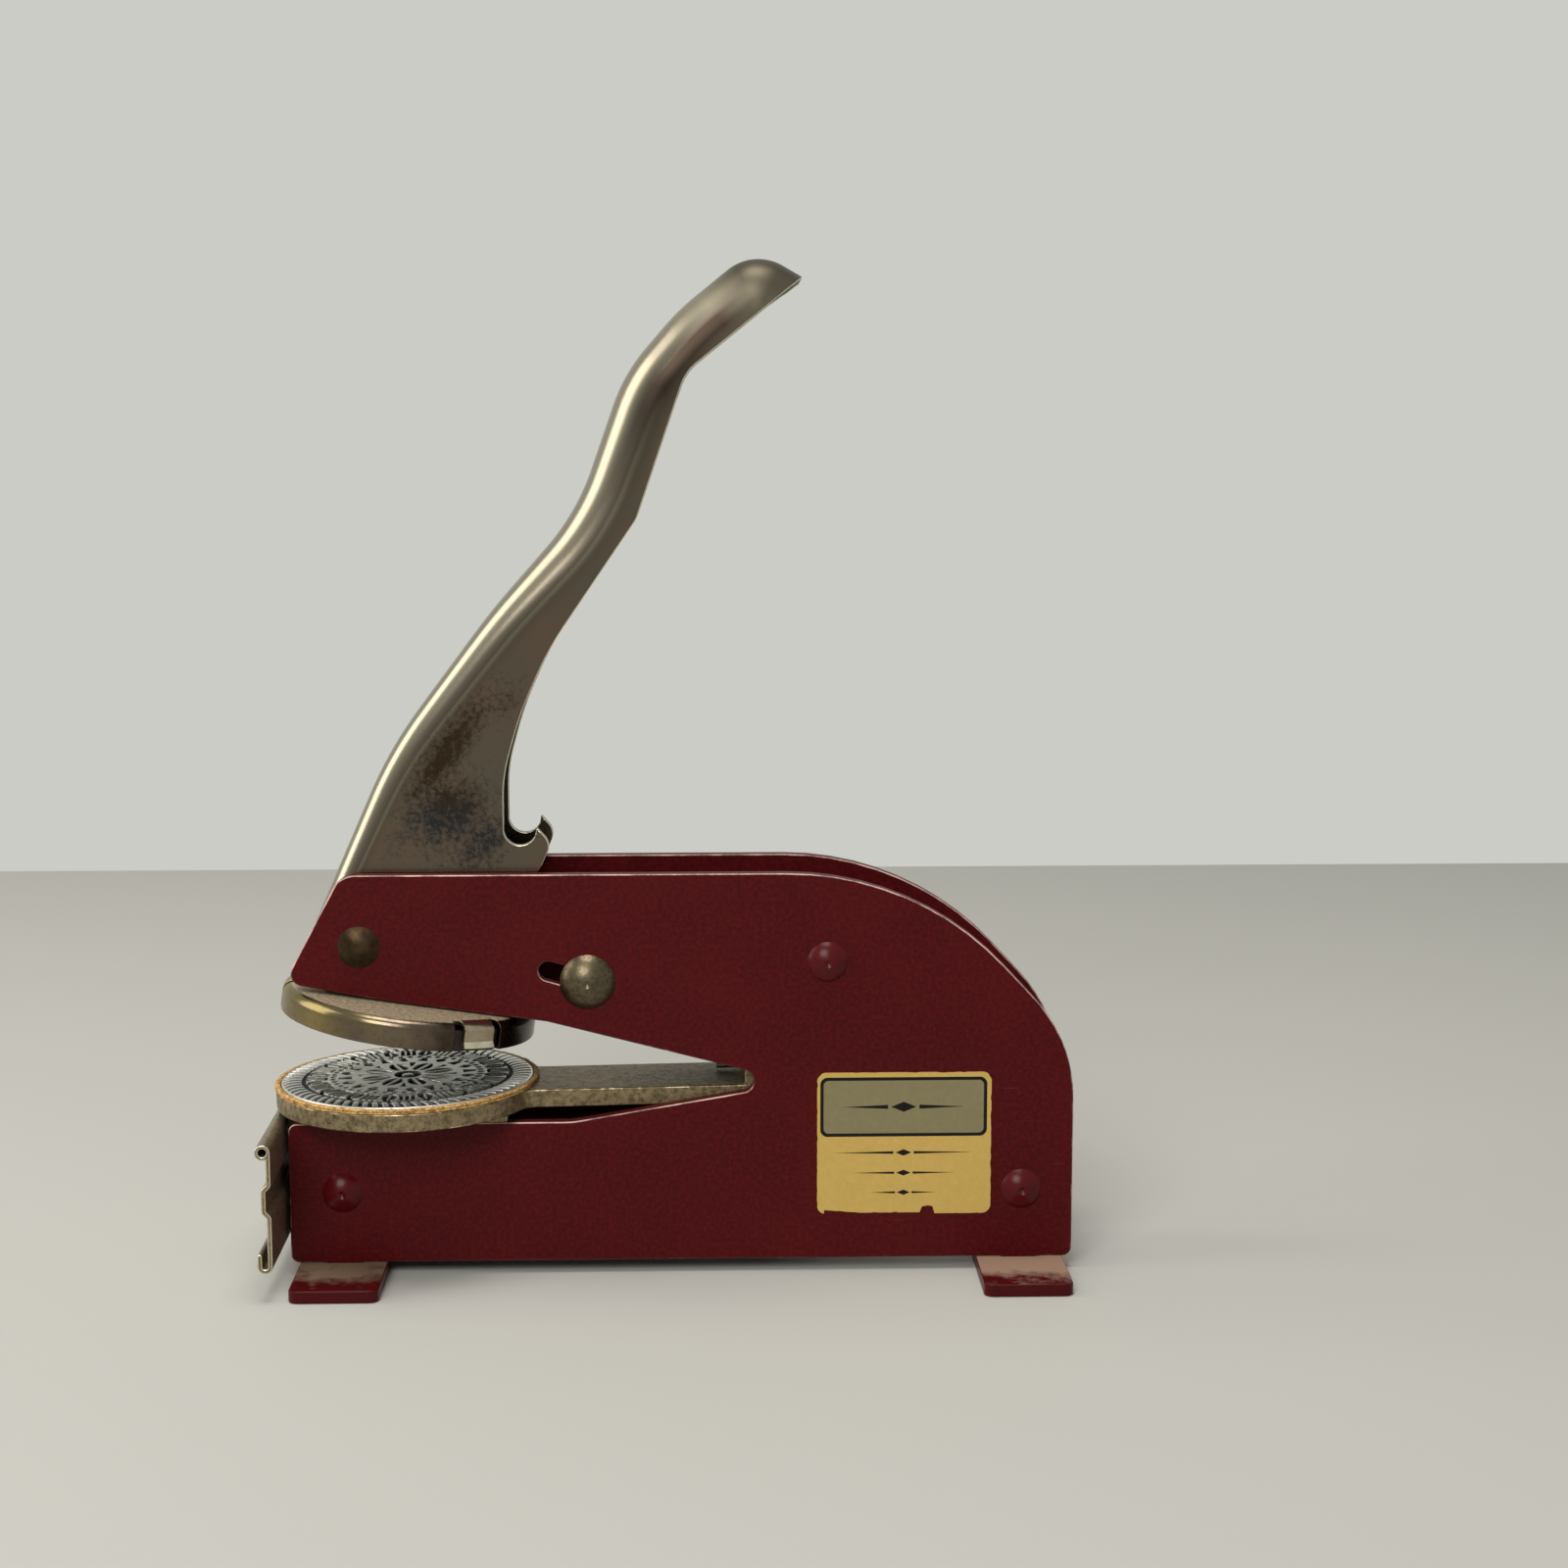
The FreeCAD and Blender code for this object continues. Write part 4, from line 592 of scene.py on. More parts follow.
# The cut rims of the plated sheet, rubbed bright: cream with duller runs of about 2 mm.
polished, tree, shader, spot = start_finish("rubbed_nickel_edge", Metallic=1.0, Roughness=0.25)
nick = add(tree, "TexNoise", {"Vector": spot, "Scale": 1000 / 1.8, "Detail": 4.0})
glint = add(tree, "Mix", {0: nick, 6: "#b3a88a", 7: "#f4ecd6"}, data_type="RGBA")
plug(tree, shader, {"Base Color": glint})

lever = add_piece("folded_lever", bm, nickel, polished)
wall = lever.modifiers.new("sheet", "SOLIDIFY")
wall.thickness = LEVER_SHEET * MM
wall.offset = -1.0
break_edges(lever, 0.13, turn=60, finish=1)
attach(lever, "lever")
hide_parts("lever")

# ---------------------------- pivot rivet and lock pin
# A low-domed rivet that the lever turns on, and the lock pin, whose two high-domed heads are pushed
# along the slots. Both were nickel plated; the rivet has gone smooth brown, the pin's heads are speckled.
browned, tree, shader, spot = start_finish("browned_nickel_rivet", Metallic=1.0, Roughness=0.42)
patch = add(tree, "TexNoise", {"Vector": spot, "Scale": 1000 / 2.2, "Detail": 5.0, "Roughness": 0.6})
edge = add(tree, "MapRange", {"Value": patch, "From Min": 0.38, "From Max": 0.64})
brown = add(tree, "Mix", {0: edge, 6: "#30261b", 7: "#463828"}, data_type="RGBA")
plug(tree, shader, {"Base Color": brown})
dress("pivot_rivet", browned)

handled, tree, shader, spot = start_finish("speckled_nickel_head", Metallic=1.0)
speckle = add(tree, "TexNoise", {"Vector": spot, "Scale": 1000 / 0.8, "Detail": 6.0, "Roughness": 0.75})
cloud = add(tree, "TexNoise", {"Vector": spot, "Scale": 1000 / 4.0, "Detail": 3.0})
patch = add(tree, "MapRange", {"Value": speckle, "From Min": 0.3, "From Max": 0.55})
olive = add(tree, "Mix", {0: cloud, 6: "#584f3f", 7: "#6e644f"}, data_type="RGBA")
brown = add(tree, "Mix", {0: patch, 6: "#403628", 7: olive}, data_type="RGBA")
matt = add(tree, "MapRange", {"Value": patch, "To Min": 0.45, "To Max": 0.3})
grit = add(tree, "Bump", {"Height": speckle, "Strength": 0.15, "Distance": 0.05 * MM})
plug(tree, shader, {"Base Color": brown, "Roughness": matt, "Normal": grit})
dress("lock_pin", handled)

# ---------------------------- lower die holder and arms
# The bed of the lower die and the arm above it are steel bars, zinc plated and yellow passivated over a
# sand-blasted surface: dull olive-gold, gritty, with the plating worn bright along the edges. The grit
# is drawn 1.1 mm wide, coarser than the real one, so that it shows.
zinc, tree, shader, spot = start_finish("yellow_passivated_zinc", Metallic=0.6)
sand = add(tree, "TexNoise", {"Vector": spot, "Scale": 1000 / 1.1, "Detail": 5.0, "Roughness": 0.8})
tide = add(tree, "TexNoise", {"Vector": spot, "Scale": 1000 / 6.0, "Detail": 4.0, "Roughness": 0.6})
olive = add(tree, "Mix", {0: tide, 6: "#7c6c4f", 7: "#9a8967"}, data_type="RGBA")
dirt = add(tree, "MapRange", {"Value": sand, "From Min": 0.4, "From Max": 0.56, "To Min": 0.8,
                              "To Max": 0.0})
gritty = add(tree, "Mix", {0: dirt, 6: olive, 7: "#453a26"}, data_type="RGBA")
blast = add(tree, "MapRange", {"Value": sand, "To Min": 0.55, "To Max": 0.4})
rough = add(tree, "Bump", {"Height": sand, "Strength": 0.9, "Distance": 0.12 * MM})
plug(tree, shader, {"Base Color": gritty, "Roughness": blast, "Normal": rough})

worn_rim, tree, shader, spot = start_finish("worn_zinc_edge", Metallic=1.0)
nick = add(tree, "TexNoise", {"Vector": spot, "Scale": 1000 / 2.2, "Detail": 5.0, "Roughness": 0.7})
shine = add(tree, "MapRange", {"Value": nick, "From Min": 0.46, "From Max": 0.68})
bright = add(tree, "Mix", {0: shine, 6: "#6f6146", 7: "#cfc2a0"}, data_type="RGBA")
soft = add(tree, "MapRange", {"Value": shine, "To Min": 0.5, "To Max": 0.26})
plug(tree, shader, {"Base Color": bright, "Roughness": soft})


def softened(name, node, width, body, slot, *finishes):
    """The node's own shape with its edges broken (mm) and worn, standing for the node."""
    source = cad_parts[node].data
    bm = bmesh.new()
    verts = [bm.verts.new(vert.co) for vert in source.vertices]
    for face in source.polygons:
        bm.faces.new([verts[i] for i in face.vertices])
    bmesh.ops.remove_doubles(bm, verts=bm.verts, dist=0.003 * MM)
    bmesh.ops.dissolve_limit(bm, angle_limit=math.radians(0.5), verts=bm.verts, edges=bm.edges)
    piece = add_piece(name, bm, *finishes)
    break_edges(piece, width, turn=30, finish=1)
    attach(piece, body)
    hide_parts(node)


softened("die_bed", "lower_die_holder", 0.25, "frame", "plain_steel", zinc, worn_rim)
softened("cup_arm", "upper_arm", 0.25, "upper_die_arm", "plain_steel", zinc, worn_rim)
dress("cup_rivets", zinc)

# ---------------------------- return spring
# Three and a half turns of 1 mm spring wire, loose round the hinge pin: one leg lies on the lower arm,
# the other bears up under the upper arm and follows it, so the coil winds up as the press closes.
HINGE = Vector((15.178, 34.329))
COIL_RADIUS = 2.85
COIL_HALF = 2.75
WIRE_RADIUS = 0.5
WOUND = math.radians(1264.6)
COIL_STEPS = 253
WIRE_SIDES = 14

wire = [(0.05 - run, COIL_HALF, -COIL_RADIUS - 0.0175 * run) for run in (8.0, 7.9, 6.0, 4.0, 2.0, 0.7)]
for step in range(COIL_STEPS + 1):
    angle = math.radians(-89.0) + WOUND * step / COIL_STEPS
    aside = COIL_HALF - 2 * COIL_HALF * step / COIL_STEPS
    wire.append((COIL_RADIUS * math.cos(angle), aside, COIL_RADIUS * math.sin(angle)))
wire += [(run, -COIL_HALF, up) for run, up in ((-1.6, 2.71), (-3.4, 2.55), (-4.0, 2.52), (-4.6, 2.56))]
wire += [(-4.0 - run, -COIL_HALF, 2.473 + 0.1388 * run) for run in (2.0, 4.0, 6.0, 7.8, 7.9)]
wire = [Vector(point) for point in wire]
bm = bmesh.new()
last = None
for i, point in enumerate(wire):
    heading = (wire[min(i + 1, len(wire) - 1)] - wire[max(i - 1, 0)]).normalized()
    across = heading.cross(Vector((0, 1, 0))).normalized()
    beside = across.cross(heading)
    thick = WIRE_RADIUS * (0.8 if i in (0, len(wire) - 1) else 1.0)
    loop = []
    for turn in range(WIRE_SIDES):
        angle = 2 * math.pi * turn / WIRE_SIDES
        spot = point + (across * math.cos(angle) + beside * math.sin(angle)) * thick
        loop.append(bm.verts.new(((HINGE.x + spot.x) * MM, spot.y * MM, (HINGE.y + spot.z) * MM)))
    if last:
        for a, b, c, d in zip(last, last[1:] + last[:1], loop[1:] + loop[:1], loop):
            bm.faces.new((a, b, c, d))
    else:
        bm.faces.new(loop)
    last = loop
bm.faces.new(last)
bmesh.ops.recalc_face_normals(bm, faces=bm.faces)
spring = add_piece("torsion_coil", bm, oiled)
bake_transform(spring)
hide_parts("return_spring")

# ---------------------------- leather ring
# A thin ring punched from tan leather, held between the die and its bed. Its cut edge is fibrous and
# stands a little proud of the metal. The fibres are drawn 0.7 mm wide, coarser than real, to show.
HOLDER_PLACE = Matrix.Translation((-43.75 * MM, 0, 29.7 * MM)) @ Matrix.Rotation(math.radians(-1.0), 4, "Y")

tan, tree, shader, spot = start_finish("vegetable_tanned_leather", Specular_IOR_Level=0.25, Roughness=0.85)
fibre = add(tree, "TexNoise", {"Vector": spot, "Scale": 1000 / 0.7, "Detail": 6.0, "Roughness": 0.8})
pore = add(tree, "MapRange", {"Value": fibre, "From Min": 0.4, "From Max": 0.58})
hide = add(tree, "Mix", {0: pore, 6: "#875d2c", 7: "#e2ba78"}, data_type="RGBA")
nap = add(tree, "Bump", {"Height": fibre, "Strength": 0.9, "Distance": 0.15 * MM})
plug(tree, shader, {"Base Color": hide, "Normal": nap})

bm = bmesh.new()
RING_SECTION = [(20.76, 0.02), (20.76, 0.8), (20.9, 0.88), (21.35, 0.88), (21.66, 0.76), (21.68, 0.5),
                (21.45, 0.38), (21.64, 0.26), (21.6, 0.02)]
STEPS = 480
loops = []
for step in range(STEPS):
    turn = 2 * math.pi * step / STEPS
    loop = []
    for radius, up in RING_SECTION:
        if radius > 21.0:
            radius += 0.16 * noise.noise(Vector((math.cos(turn) * 21, math.sin(turn) * 21, up * 3))) - 0.05
        if up > 0.5:
            up += 0.1 * noise.noise(Vector((math.cos(turn) * 23, math.sin(turn) * 23, 5.0))) - 0.04
        loop.append(bm.verts.new((radius * math.cos(turn) * MM, radius * math.sin(turn) * MM, up * MM)))
    loops.append(loop)
for here, ahead in zip(loops, loops[1:] + loops[:1]):
    for i in range(len(RING_SECTION)):
        j = (i + 1) % len(RING_SECTION)
        bm.faces.new((here[i], ahead[i], ahead[j], here[j]))
bmesh.ops.recalc_face_normals(bm, faces=bm.faces)
ring = add_piece("leather_ring", bm, tan)
ring.matrix_world = HOLDER_PLACE
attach(ring, "frame")
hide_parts("cork_ring")

# ---------------------------- lower die
# A round plate of zinc type metal, 41.2 mm across, cast and engraved: a roped rim, leaves and bars, a
# ring of beads and a rosette. The cuts hold old black ink, the faces between them are scraped clean.
DIE_RADIUS = 20.6
DIE_TOP = 1.12
CUT_DEEP = 0.6
ROPE_FROM = 17.25
ROPE_MIDDLE = 18.8
ROPE_HALF = 1.85
ROPE_CROWN = 0.4


def within(value, low, high, soft=0.1):
    """1 between low and high, with slopes of the given width at both ends."""
    return min(max((value - low) / soft, 0.0), 1.0) * min(max((high - value) / soft, 0.0), 1.0)


def off_centre(turn, count, radius, shift=0.0):
    """Which of count equal sectors the angle is in, and the distance (mm) from its middle line."""
    step = 2 * math.pi / count
    turn = (turn + shift * step) % (2 * math.pi)
    return int(turn / step), (turn % step - step / 2) * radius


def cut_depth(radius, turn):
    """Share of the full depth that the engraving has at this radius (mm) and angle of the die."""
    cut = within(radius, 16.6, 17.35)
    _, aside = off_centre(turn, 72, ROPE_MIDDLE, shift=-0.2 * (radius - ROPE_MIDDLE))
    cut = max(cut, within(radius, 17.35, 20.3) * within(abs(aside), -1.0, 0.42))
    motif, aside = off_centre(turn, 32, radius)
    if motif % 2:
        leaf = 1.25 * math.sqrt(max(0.0, 1 - ((radius - 14.8) / 1.95) ** 2))
        cut = max(cut, within(abs(aside), 0.14 if abs(radius - 14.8) < 1.2 else -1.0, leaf))
    else:
        for bar in (-0.95, 0.0, 0.95):
            length = within(radius, 13.0 + 0.2 * abs(bar), 16.5)
            cut = max(cut, length * within(aside, bar - 0.36, bar + 0.3))
        cut = max(cut, within(radius, 13.1, 13.6) * within(abs(aside), -1.0, 1.3))
    _, aside = off_centre(turn, 48, 12.0)
    cut = max(cut, within(math.hypot(radius - 12.0, aside), -1.0, 0.52))
    motif, aside = off_centre(turn, 20, radius)
    wide = 1.0 - 0.7 * abs(radius - 10.2) if motif % 2 else 0.45 + 0.25 * (11.2 - radius)
    cut = max(cut, within(radius, 9.2, 11.2) * within(abs(aside), -1.0, wide))
    _, aside = off_centre(turn, 8, radius)
    petal = 1.5 * math.sqrt(max(0.0, 1 - ((radius - 5.3) / 2.3) ** 2))
    cut = max(cut, within(abs(aside), 0.2, petal))
    _, aside = off_centre(turn, 8, radius, shift=0.5)
    cut = max(cut, within(radius, 5.6, 8.0) * within(abs(aside), -1.0, 0.16 * (radius - 4.6)))
    return max(cut, within(radius, 1.0, 2.2))


type_metal, tree, shader, spot = start_finish("cast_type_metal", Metallic=0.9)
cut = add(tree, "Attribute", attribute_name="cut").outputs["Fac"]
inked = add(tree, "MapRange", {"Value": cut, "From Min": 0.15, "From Max": 0.5})
cast = add(tree, "TexNoise", {"Vector": spot, "Scale": 1000 / 1.5, "Detail": 6.0, "Roughness": 0.7})
smear = add(tree, "TexNoise", {"Vector": spot, "Scale": 1000 / 9.0, "Detail": 3.0})
scraped = add(tree, "Mix", {0: cast, 6: "#8f8f86", 7: "#d6d6cb"}, data_type="RGBA")
stale = add(tree, "MapRange", {"Value": smear, "From Min": 0.5, "From Max": 0.7, "To Max": 0.4})
greyed = add(tree, "Mix", {0: stale, 6: scraped, 7: "#6d6d68"}, data_type="RGBA")
out = add(tree, "VectorMath", {0: spot}, operation="LENGTH")
roped = add(tree, "MapRange", {"Value": out, "From Min": 17.2 * MM, "From Max": 17.6 * MM, "To Max": 0.65})
silvery = add(tree, "Mix", {0: roped, 6: greyed, 7: "#ecece6"}, data_type="RGBA")
face = add(tree, "Mix", {0: inked, 6: silvery, 7: "#101012"}, data_type="RGBA")
gloss = add(tree, "MapRange", {"Value": inked, "To Min": 0.34, "To Max": 0.7})
metal_share = add(tree, "MapRange", {"Value": inked, "To Min": 0.9, "To Max": 0.0})
plug(tree, shader, {"Base Color": face, "Roughness": gloss, "Metallic": metal_share})

bm = bmesh.new()
cut_share = bm.verts.layers.float.new("cut")
SECTORS = 960
radii = [0.9, 1.1] + [1.3 + 0.2 * i for i in range(58)] + [12.9 + 0.14 * i for i in range(53)] \
    + [20.3, 20.42, 20.52, DIE_RADIUS]
middle = bm.verts.new((0, 0, DIE_TOP * MM))
loops = []
for radius in radii:
    loop = []
    for sector in range(SECTORS):
        turn = 2 * math.pi * sector / SECTORS
        cut = cut_depth(radius, turn)
        up = DIE_TOP - CUT_DEEP * cut
        if radius > ROPE_FROM:
            up -= ROPE_CROWN * (1 - math.sqrt(max(0.0, 1 - ((radius - ROPE_MIDDLE) / ROPE_HALF) ** 2)))
        vert = bm.verts.new((radius * math.cos(turn) * MM, radius * math.sin(turn) * MM, up * MM))
        vert[cut_share] = cut
        loop.append(vert)
    loops.append(loop)
loops.append([bm.verts.new((v.co.x, v.co.y, 0.02 * MM)) for v in loops[-1]])
for i in range(SECTORS):
    j = (i + 1) % SECTORS
    bm.faces.new((middle, loops[0][i], loops[0][j]))
    for inner, outer in zip(loops, loops[1:]):
        bm.faces.new((inner[i], outer[i], outer[j], inner[j]))
bm.faces.new(reversed(loops[-1]))
die = add_piece("engraved_die", bm, type_metal)
die.matrix_world = HOLDER_PLACE
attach(die, "frame")
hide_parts("lower_die")

# ---------------------------- upper die and its cup
# The cup is pressed from thin sheet and nickel plated like the lever; the counter-die in it is a disc
# of hard fibre, brown-black and matt, which the cup hides from most sides.
fibre_board, tree, shader, spot = start_finish("hard_vulcanised_fibre", Roughness=0.65)
felt = add(tree, "TexNoise", {"Vector": spot, "Scale": 1000 / 0.8, "Detail": 5.0})
pulp = add(tree, "Mix", {0: felt, 6: "#15100c", 7: "#33271e"}, data_type="RGBA")
plug(tree, shader, {"Base Color": pulp})
dress("upper_die", fibre_board)

# Thin cloudy nickel with painted light and shade: yellowish at the front, where the light falls, grey and
# then brown towards the back; a blasted beige roof. The two side tabs are painted a lighter nickel for the
# light they catch, and their turned-out lips carry the bright rubbed finish, partly wear and partly painted
# highlight.
pressed, tree, shader, spot = start_finish("nickel_plate_painted_light_and_shade", Metallic=1.0)
place = add(tree, "SeparateXYZ", {"Vector": spot})
haze = add(tree, "TexNoise", {"Vector": spot, "Scale": 1000 / 7.0, "Detail": 5.0, "Roughness": 0.6})
fleck = add(tree, "TexNoise", {"Vector": spot, "Scale": 1000 / 0.7, "Detail": 6.0, "Roughness": 0.75})
# Painted light and shade: the colour runs from yellowish at the cup's front to dark brown at its back.
back = add(tree, "MapRange", {"Value": place.outputs["X"], "From Min": -20 * MM, "From Max": 20 * MM,
                              "To Min": -0.15})
drift = add(tree, "Math", {0: back, 1: haze}, operation="ADD")
drift = add(tree, "Math", {0: drift, 1: 0.3}, operation="SUBTRACT")
ramp = add(tree, "ValToRGB", {"Fac": drift})
stops = ramp.color_ramp.elements
for share, shade in ((0.0, "#8a794c"), (0.3, "#786c4d"), (0.6, "#6a5d50"), (1.0, "#3a3027")):
    stop = stops[-int(share)] if share in (0.0, 1.0) else stops.new(share)
    stop.color = linear(shade)
spots = add(tree, "MapRange", {"Value": fleck, "From Min": 0.52, "From Max": 0.72, "To Max": 0.6})
flecked = add(tree, "Mix", {0: spots, 6: ramp, 7: "#3d3123"}, data_type="RGBA")
roof = add(tree, "MapRange", {"Value": place.outputs["Z"], "From Min": -0.22 * MM, "From Max": -0.05 * MM})
grain = add(tree, "MapRange", {"Value": fleck, "From Min": 0.35, "From Max": 0.62})
beige = add(tree, "Mix", {0: grain, 6: "#6a5c48", 7: "#b5a68b"}, data_type="RGBA")
skin = add(tree, "Mix", {0: roof, 6: flecked, 7: beige}, data_type="RGBA")
soft = add(tree, "MapRange", {"Value": spots, "To Min": 0.2, "To Max": 0.45})
matt = add(tree, "Math", {0: roof, 1: 0.35, 2: soft}, operation="MULTIPLY_ADD")
blasted = add(tree, "MapRange", {"Value": roof, "To Min": 1.0, "To Max": 0.3})
plug(tree, shader, {"Base Color": skin, "Roughness": matt, "Metallic": blasted})

# Painted highlight: a lighter nickel for the tabs, standing for the light they catch.
tab_nickel_painted_light, tree, shader, spot = start_finish("tab_nickel_painted_lighter", Metallic=1.0, Roughness=0.24)
fleck = add(tree, "TexNoise", {"Vector": spot, "Scale": 1000 / 1.0, "Detail": 5.0, "Roughness": 0.7})
tab_lighter_colour = add(tree, "Mix", {0: fleck, 6: "#8a7f69", 7: "#bfb399"}, data_type="RGBA")
plug(tree, shader, {"Base Color": tab_lighter_colour})

CUP_PLACE = Matrix.Translation((-42.92 * MM, 0, 44.91 * MM)) @ Matrix.Rotation(math.radians(7.9), 4, "Y")
CUP_RADIUS = 20.8
CUP_HEIGHT = 4.6
CUP_SHOULDER = 1.7
CUP_WALL = 0.9
TAB_MIDDLES = (52.0, 180.0, 308.0)
TAB_HALF = 10.0
SLIT_HALF = 2.0
SLIT_FROM = 18.6
TAB_PROUD = 0.12
TAB_RAISED = 0.55
LIP_TOP = -2.95
LIP_SLOPE = 0.55
LIP_BRIGHT = -3.5

slits = [middle + side * TAB_HALF for middle in TAB_MIDDLES for side in (-1, 1)]
turns = [step * 1.25 for step in range(288)]
turns = [turn for turn in turns if all(abs(abs(turn - slit) - SLIT_HALF) > 0.6 for slit in slits)]
turns = sorted(turns + [slit + side * SLIT_HALF for slit in slits for side in (-1, 1)])
section = [(3.0 * i, 0.0) for i in range(1, 7)] + [(SLIT_FROM, 0.0), (CUP_RADIUS - CUP_SHOULDER, 0.0)]
for angle in range(10, 91, 10):
    bent = math.radians(angle)
    section.append((CUP_RADIUS - CUP_SHOULDER * (1 - math.sin(bent)), -CUP_SHOULDER * (1 - math.cos(bent))))
section += [(CUP_RADIUS, up) for up in (-2.4, -3.1, -3.55, -3.75, -4.2, -CUP_HEIGHT)]
bm = bmesh.new()
rings = []
for radius, up in section:
    loop = []
    for turn in turns:
        on_tab = any(abs(turn - middle) < TAB_HALF for middle in TAB_MIDDLES[::2])
        reach, level = radius, up
        if on_tab and radius > SLIT_FROM:
            reach += TAB_PROUD
            level = min(0.8 * up, up + TAB_RAISED)
            if level < LIP_TOP:
                reach += LIP_SLOPE * (LIP_TOP - level)
        angle = math.radians(turn)
        loop.append(bm.verts.new((reach * math.cos(angle) * MM, reach * math.sin(angle) * MM, level * MM)))
    rings.append(loop)
crown = bm.verts.new((0, 0, 0))
count = len(turns)
for i in range(count):
    j = (i + 1) % count
    bm.faces.new((crown, rings[0][i], rings[0][j]))
    between = (turns[i] + turns[j] + (360 if j == 0 else 0)) / 2
    open_here = any(abs(between - slit) < SLIT_HALF for slit in slits)
    for inner, outer, (radius, up) in zip(rings, rings[1:], section):
        if not (open_here and radius >= SLIT_FROM):
            face = bm.faces.new((inner[i], outer[i], outer[j], inner[j]))
            # Outer tab faces take the lighter nickel; lips below LIP_BRIGHT the bright edge finish, partly
            # painted highlight.
            if any(abs(between - middle) < TAB_HALF for middle in TAB_MIDDLES[::2]):
                face.material_index = 2 if up < LIP_BRIGHT else int(radius >= SLIT_FROM)
bmesh.ops.delete(bm, geom=[vert for vert in bm.verts if not vert.link_faces], context="VERTS")
cup = add_piece("pressed_cup", bm, pressed, tab_nickel_painted_light, polished)
cup.matrix_world = CUP_PLACE
wall = cup.modifiers.new("sheet", "SOLIDIFY")
wall.thickness = CUP_WALL * MM
wall.offset = -1.0
wall.use_even_offset = True
break_edges(cup, 0.16, turn=50)
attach(cup, "upper_die_arm")
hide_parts("upper_cup")

# ---------------------------- front clip and its bracket
# A strip of spring steel across the front, with a rolled finger edge, a bead and a hem, nickel plated and
# tarnished dark gold; it hangs on a strap that is bent round the lower front spacer.
spring_plate, tree, shader, spot = start_finish("tarnished_spring_strip", Metallic=0.7)
haze = add(tree, "TexNoise", {"Vector": spot, "Scale": 1000 / 5.0, "Detail": 5.0, "Roughness": 0.65})
fleck = add(tree, "TexNoise", {"Vector": spot, "Scale": 1000 / 0.8, "Detail": 5.0, "Roughness": 0.75})
gold = add(tree, "Mix", {0: haze, 6: "#6c604c", 7: "#9f9379"}, data_type="RGBA")
rust = add(tree, "MapRange", {"Value": fleck, "From Min": 0.48, "From Max": 0.68, "To Max": 0.75})
strip = add(tree, "Mix", {0: rust, 6: gold, 7: "#44382a"}, data_type="RGBA")
dull = add(tree, "MapRange", {"Value": rust, "To Min": 0.36, "To Max": 0.6})
scale = add(tree, "Bump", {"Height": fleck, "Strength": 0.4, "Distance": 0.08 * MM})
plug(tree, shader, {"Base Color": strip, "Roughness": dull, "Normal": scale})
softened("rolled_front_strip", "front_clip", 0.18, "clip", "nickel_plate", spring_plate, polished)
softened("strip_bracket", "clip_bracket", 0.2, "frame", "plain_steel", zinc, worn_rim)

# ---------------------------- label
# A varnished paper label, 28.4 by 23.7 mm: cream-yellow stock with an olive panel in a dark frame, and
# plain printer's dividers, a lozenge between two long points. Its lower edge is chewed, with a bite out.
LABEL_LEFT = 23.55
LABEL_LOW = 9.5
LABEL_FACE = -10.5
LABEL_WIDE = 28.4
LABEL_TALL = 23.7
LABEL_THICK = 0.11
BITE_FROM = 17.1
BITE_TO = 19.1

papers = []
for name, gloss, dark, light in (("varnished_label_paper", 0.45, "#bb9a4a", "#d8b665"),
                                 ("printed_olive_panel", 0.4, "#777050", "#8e8560")):
    finish, tree, shader, spot = start_finish(name, Roughness=gloss, Specular_IOR_Level=0.35)
    pulp = add(tree, "TexNoise", {"Vector": spot, "Scale": 1000 / 1.1, "Detail": 6.0, "Roughness": 0.7})
    stock = add(tree, "Mix", {0: pulp, 6: dark, 7: light}, data_type="RGBA")
    plug(tree, shader, {"Base Color": stock})
    papers.append(finish)
ink, *_ = start_finish("black_printing_ink", Base_Color="#0c0a08", Roughness=0.5, Specular_IOR_Level=0.2)

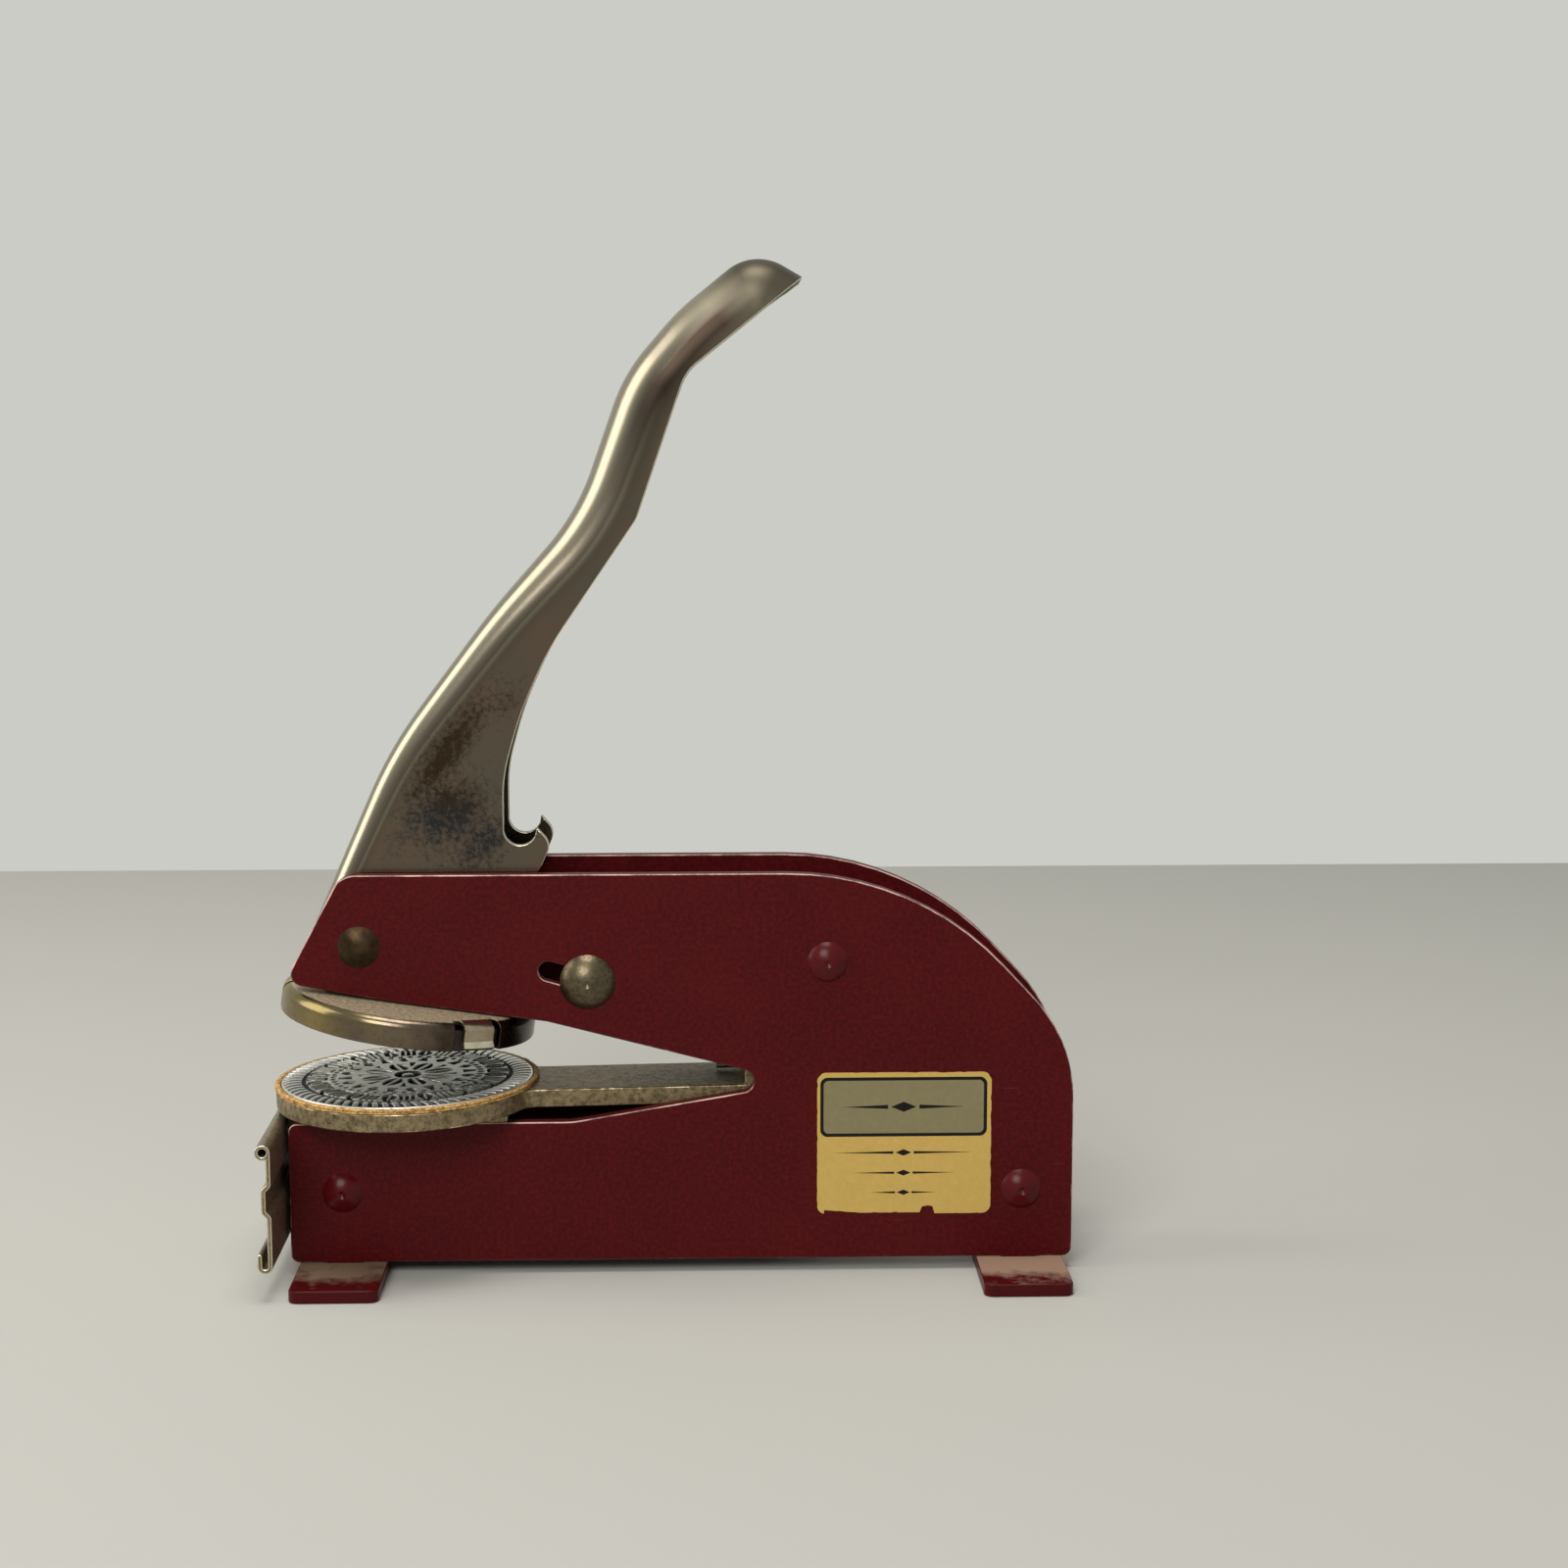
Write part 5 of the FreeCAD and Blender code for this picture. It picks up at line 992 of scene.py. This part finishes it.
edge = [(0, 0, 1.5), (LABEL_WIDE, 0, 1.5), (LABEL_WIDE, LABEL_TALL, 1.5), (0, LABEL_TALL, 1.5)]
edge = divided(rounded(edge), 0.35)
for point in edge:
    chew = noise.noise(Vector((point.x * 0.9, point.y * 0.9, 2.0)))
    inward = (Vector((LABEL_WIDE / 2, LABEL_TALL / 2)) - point).normalized()
    point += inward * max(0.0, chew) * 0.2
    if BITE_FROM < point.x < BITE_TO and point.y < 1.2:
        point.y += 1.35 - 0.2 * abs(point.x - (BITE_FROM + BITE_TO) / 2)
    elif 1.2 < point.x < BITE_FROM and point.y < 1.2:
        point.y += 0.2 + 0.6 * max(0.0, 1 - point.x / 7.0)
frame_out = rounded([(0.5, 13.0, 1.2), (27.7, 13.0, 1.2), (27.7, 22.9, 1.2), (0.5, 22.9, 1.2)])
frame_in = rounded([(1.05, 13.55, 0.8), (27.15, 13.55, 0.8), (27.15, 22.35, 0.8), (1.05, 22.35, 0.8)])
prints = []
for up, wide, tall in ((17.95, 20.0, 0.85), (10.3, 23.0, 0.55), (6.9, 17.0, 0.5), (3.6, 11.0, 0.45)):
    for mark in ([(-2.4 * tall, 0), (0, -tall), (2.4 * tall, 0), (0, tall)],
                 [(-wide / 2, 0), (-3 * tall, -0.4 * tall), (-3 * tall, 0.4 * tall)],
                 [(wide / 2, 0), (3 * tall, 0.4 * tall), (3 * tall, -0.4 * tall)]):
        prints.append([Vector((14.1 + x, up + y)) for x, y in mark])
bm = bmesh.new()
areas = [(0, [edge, frame_out] + prints[3:]), (2, [frame_out, frame_in]), (1, [frame_in] + prints[:3])]
for area, loops in areas + [(2, [mark]) for mark in prints]:
    part = bmesh.new()
    for loop in loops:
        ring = [part.verts.new((p.x + LABEL_LEFT, LABEL_FACE - LABEL_THICK, p.y + LABEL_LOW)) for p in loop]
        for start, end in zip(ring, ring[1:] + ring[:1]):
            part.edges.new((start, end))
    bmesh.ops.triangle_fill(part, use_beauty=True, edges=part.edges)
    for face in part.faces:
        face.material_index = area
    sheet = bpy.data.meshes.new("sheet")
    part.to_mesh(sheet)
    part.free()
    bm.from_mesh(sheet)
    bpy.data.meshes.remove(sheet)
bmesh.ops.remove_doubles(bm, verts=bm.verts, dist=0.001)
thickened(bm, (0, LABEL_THICK, 0))
label = add_piece("paper_label", bm, *papers, ink)
label.data.shade_flat()
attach(label, "frame")
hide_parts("label")

# ---------------------------- sizes
low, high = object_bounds()
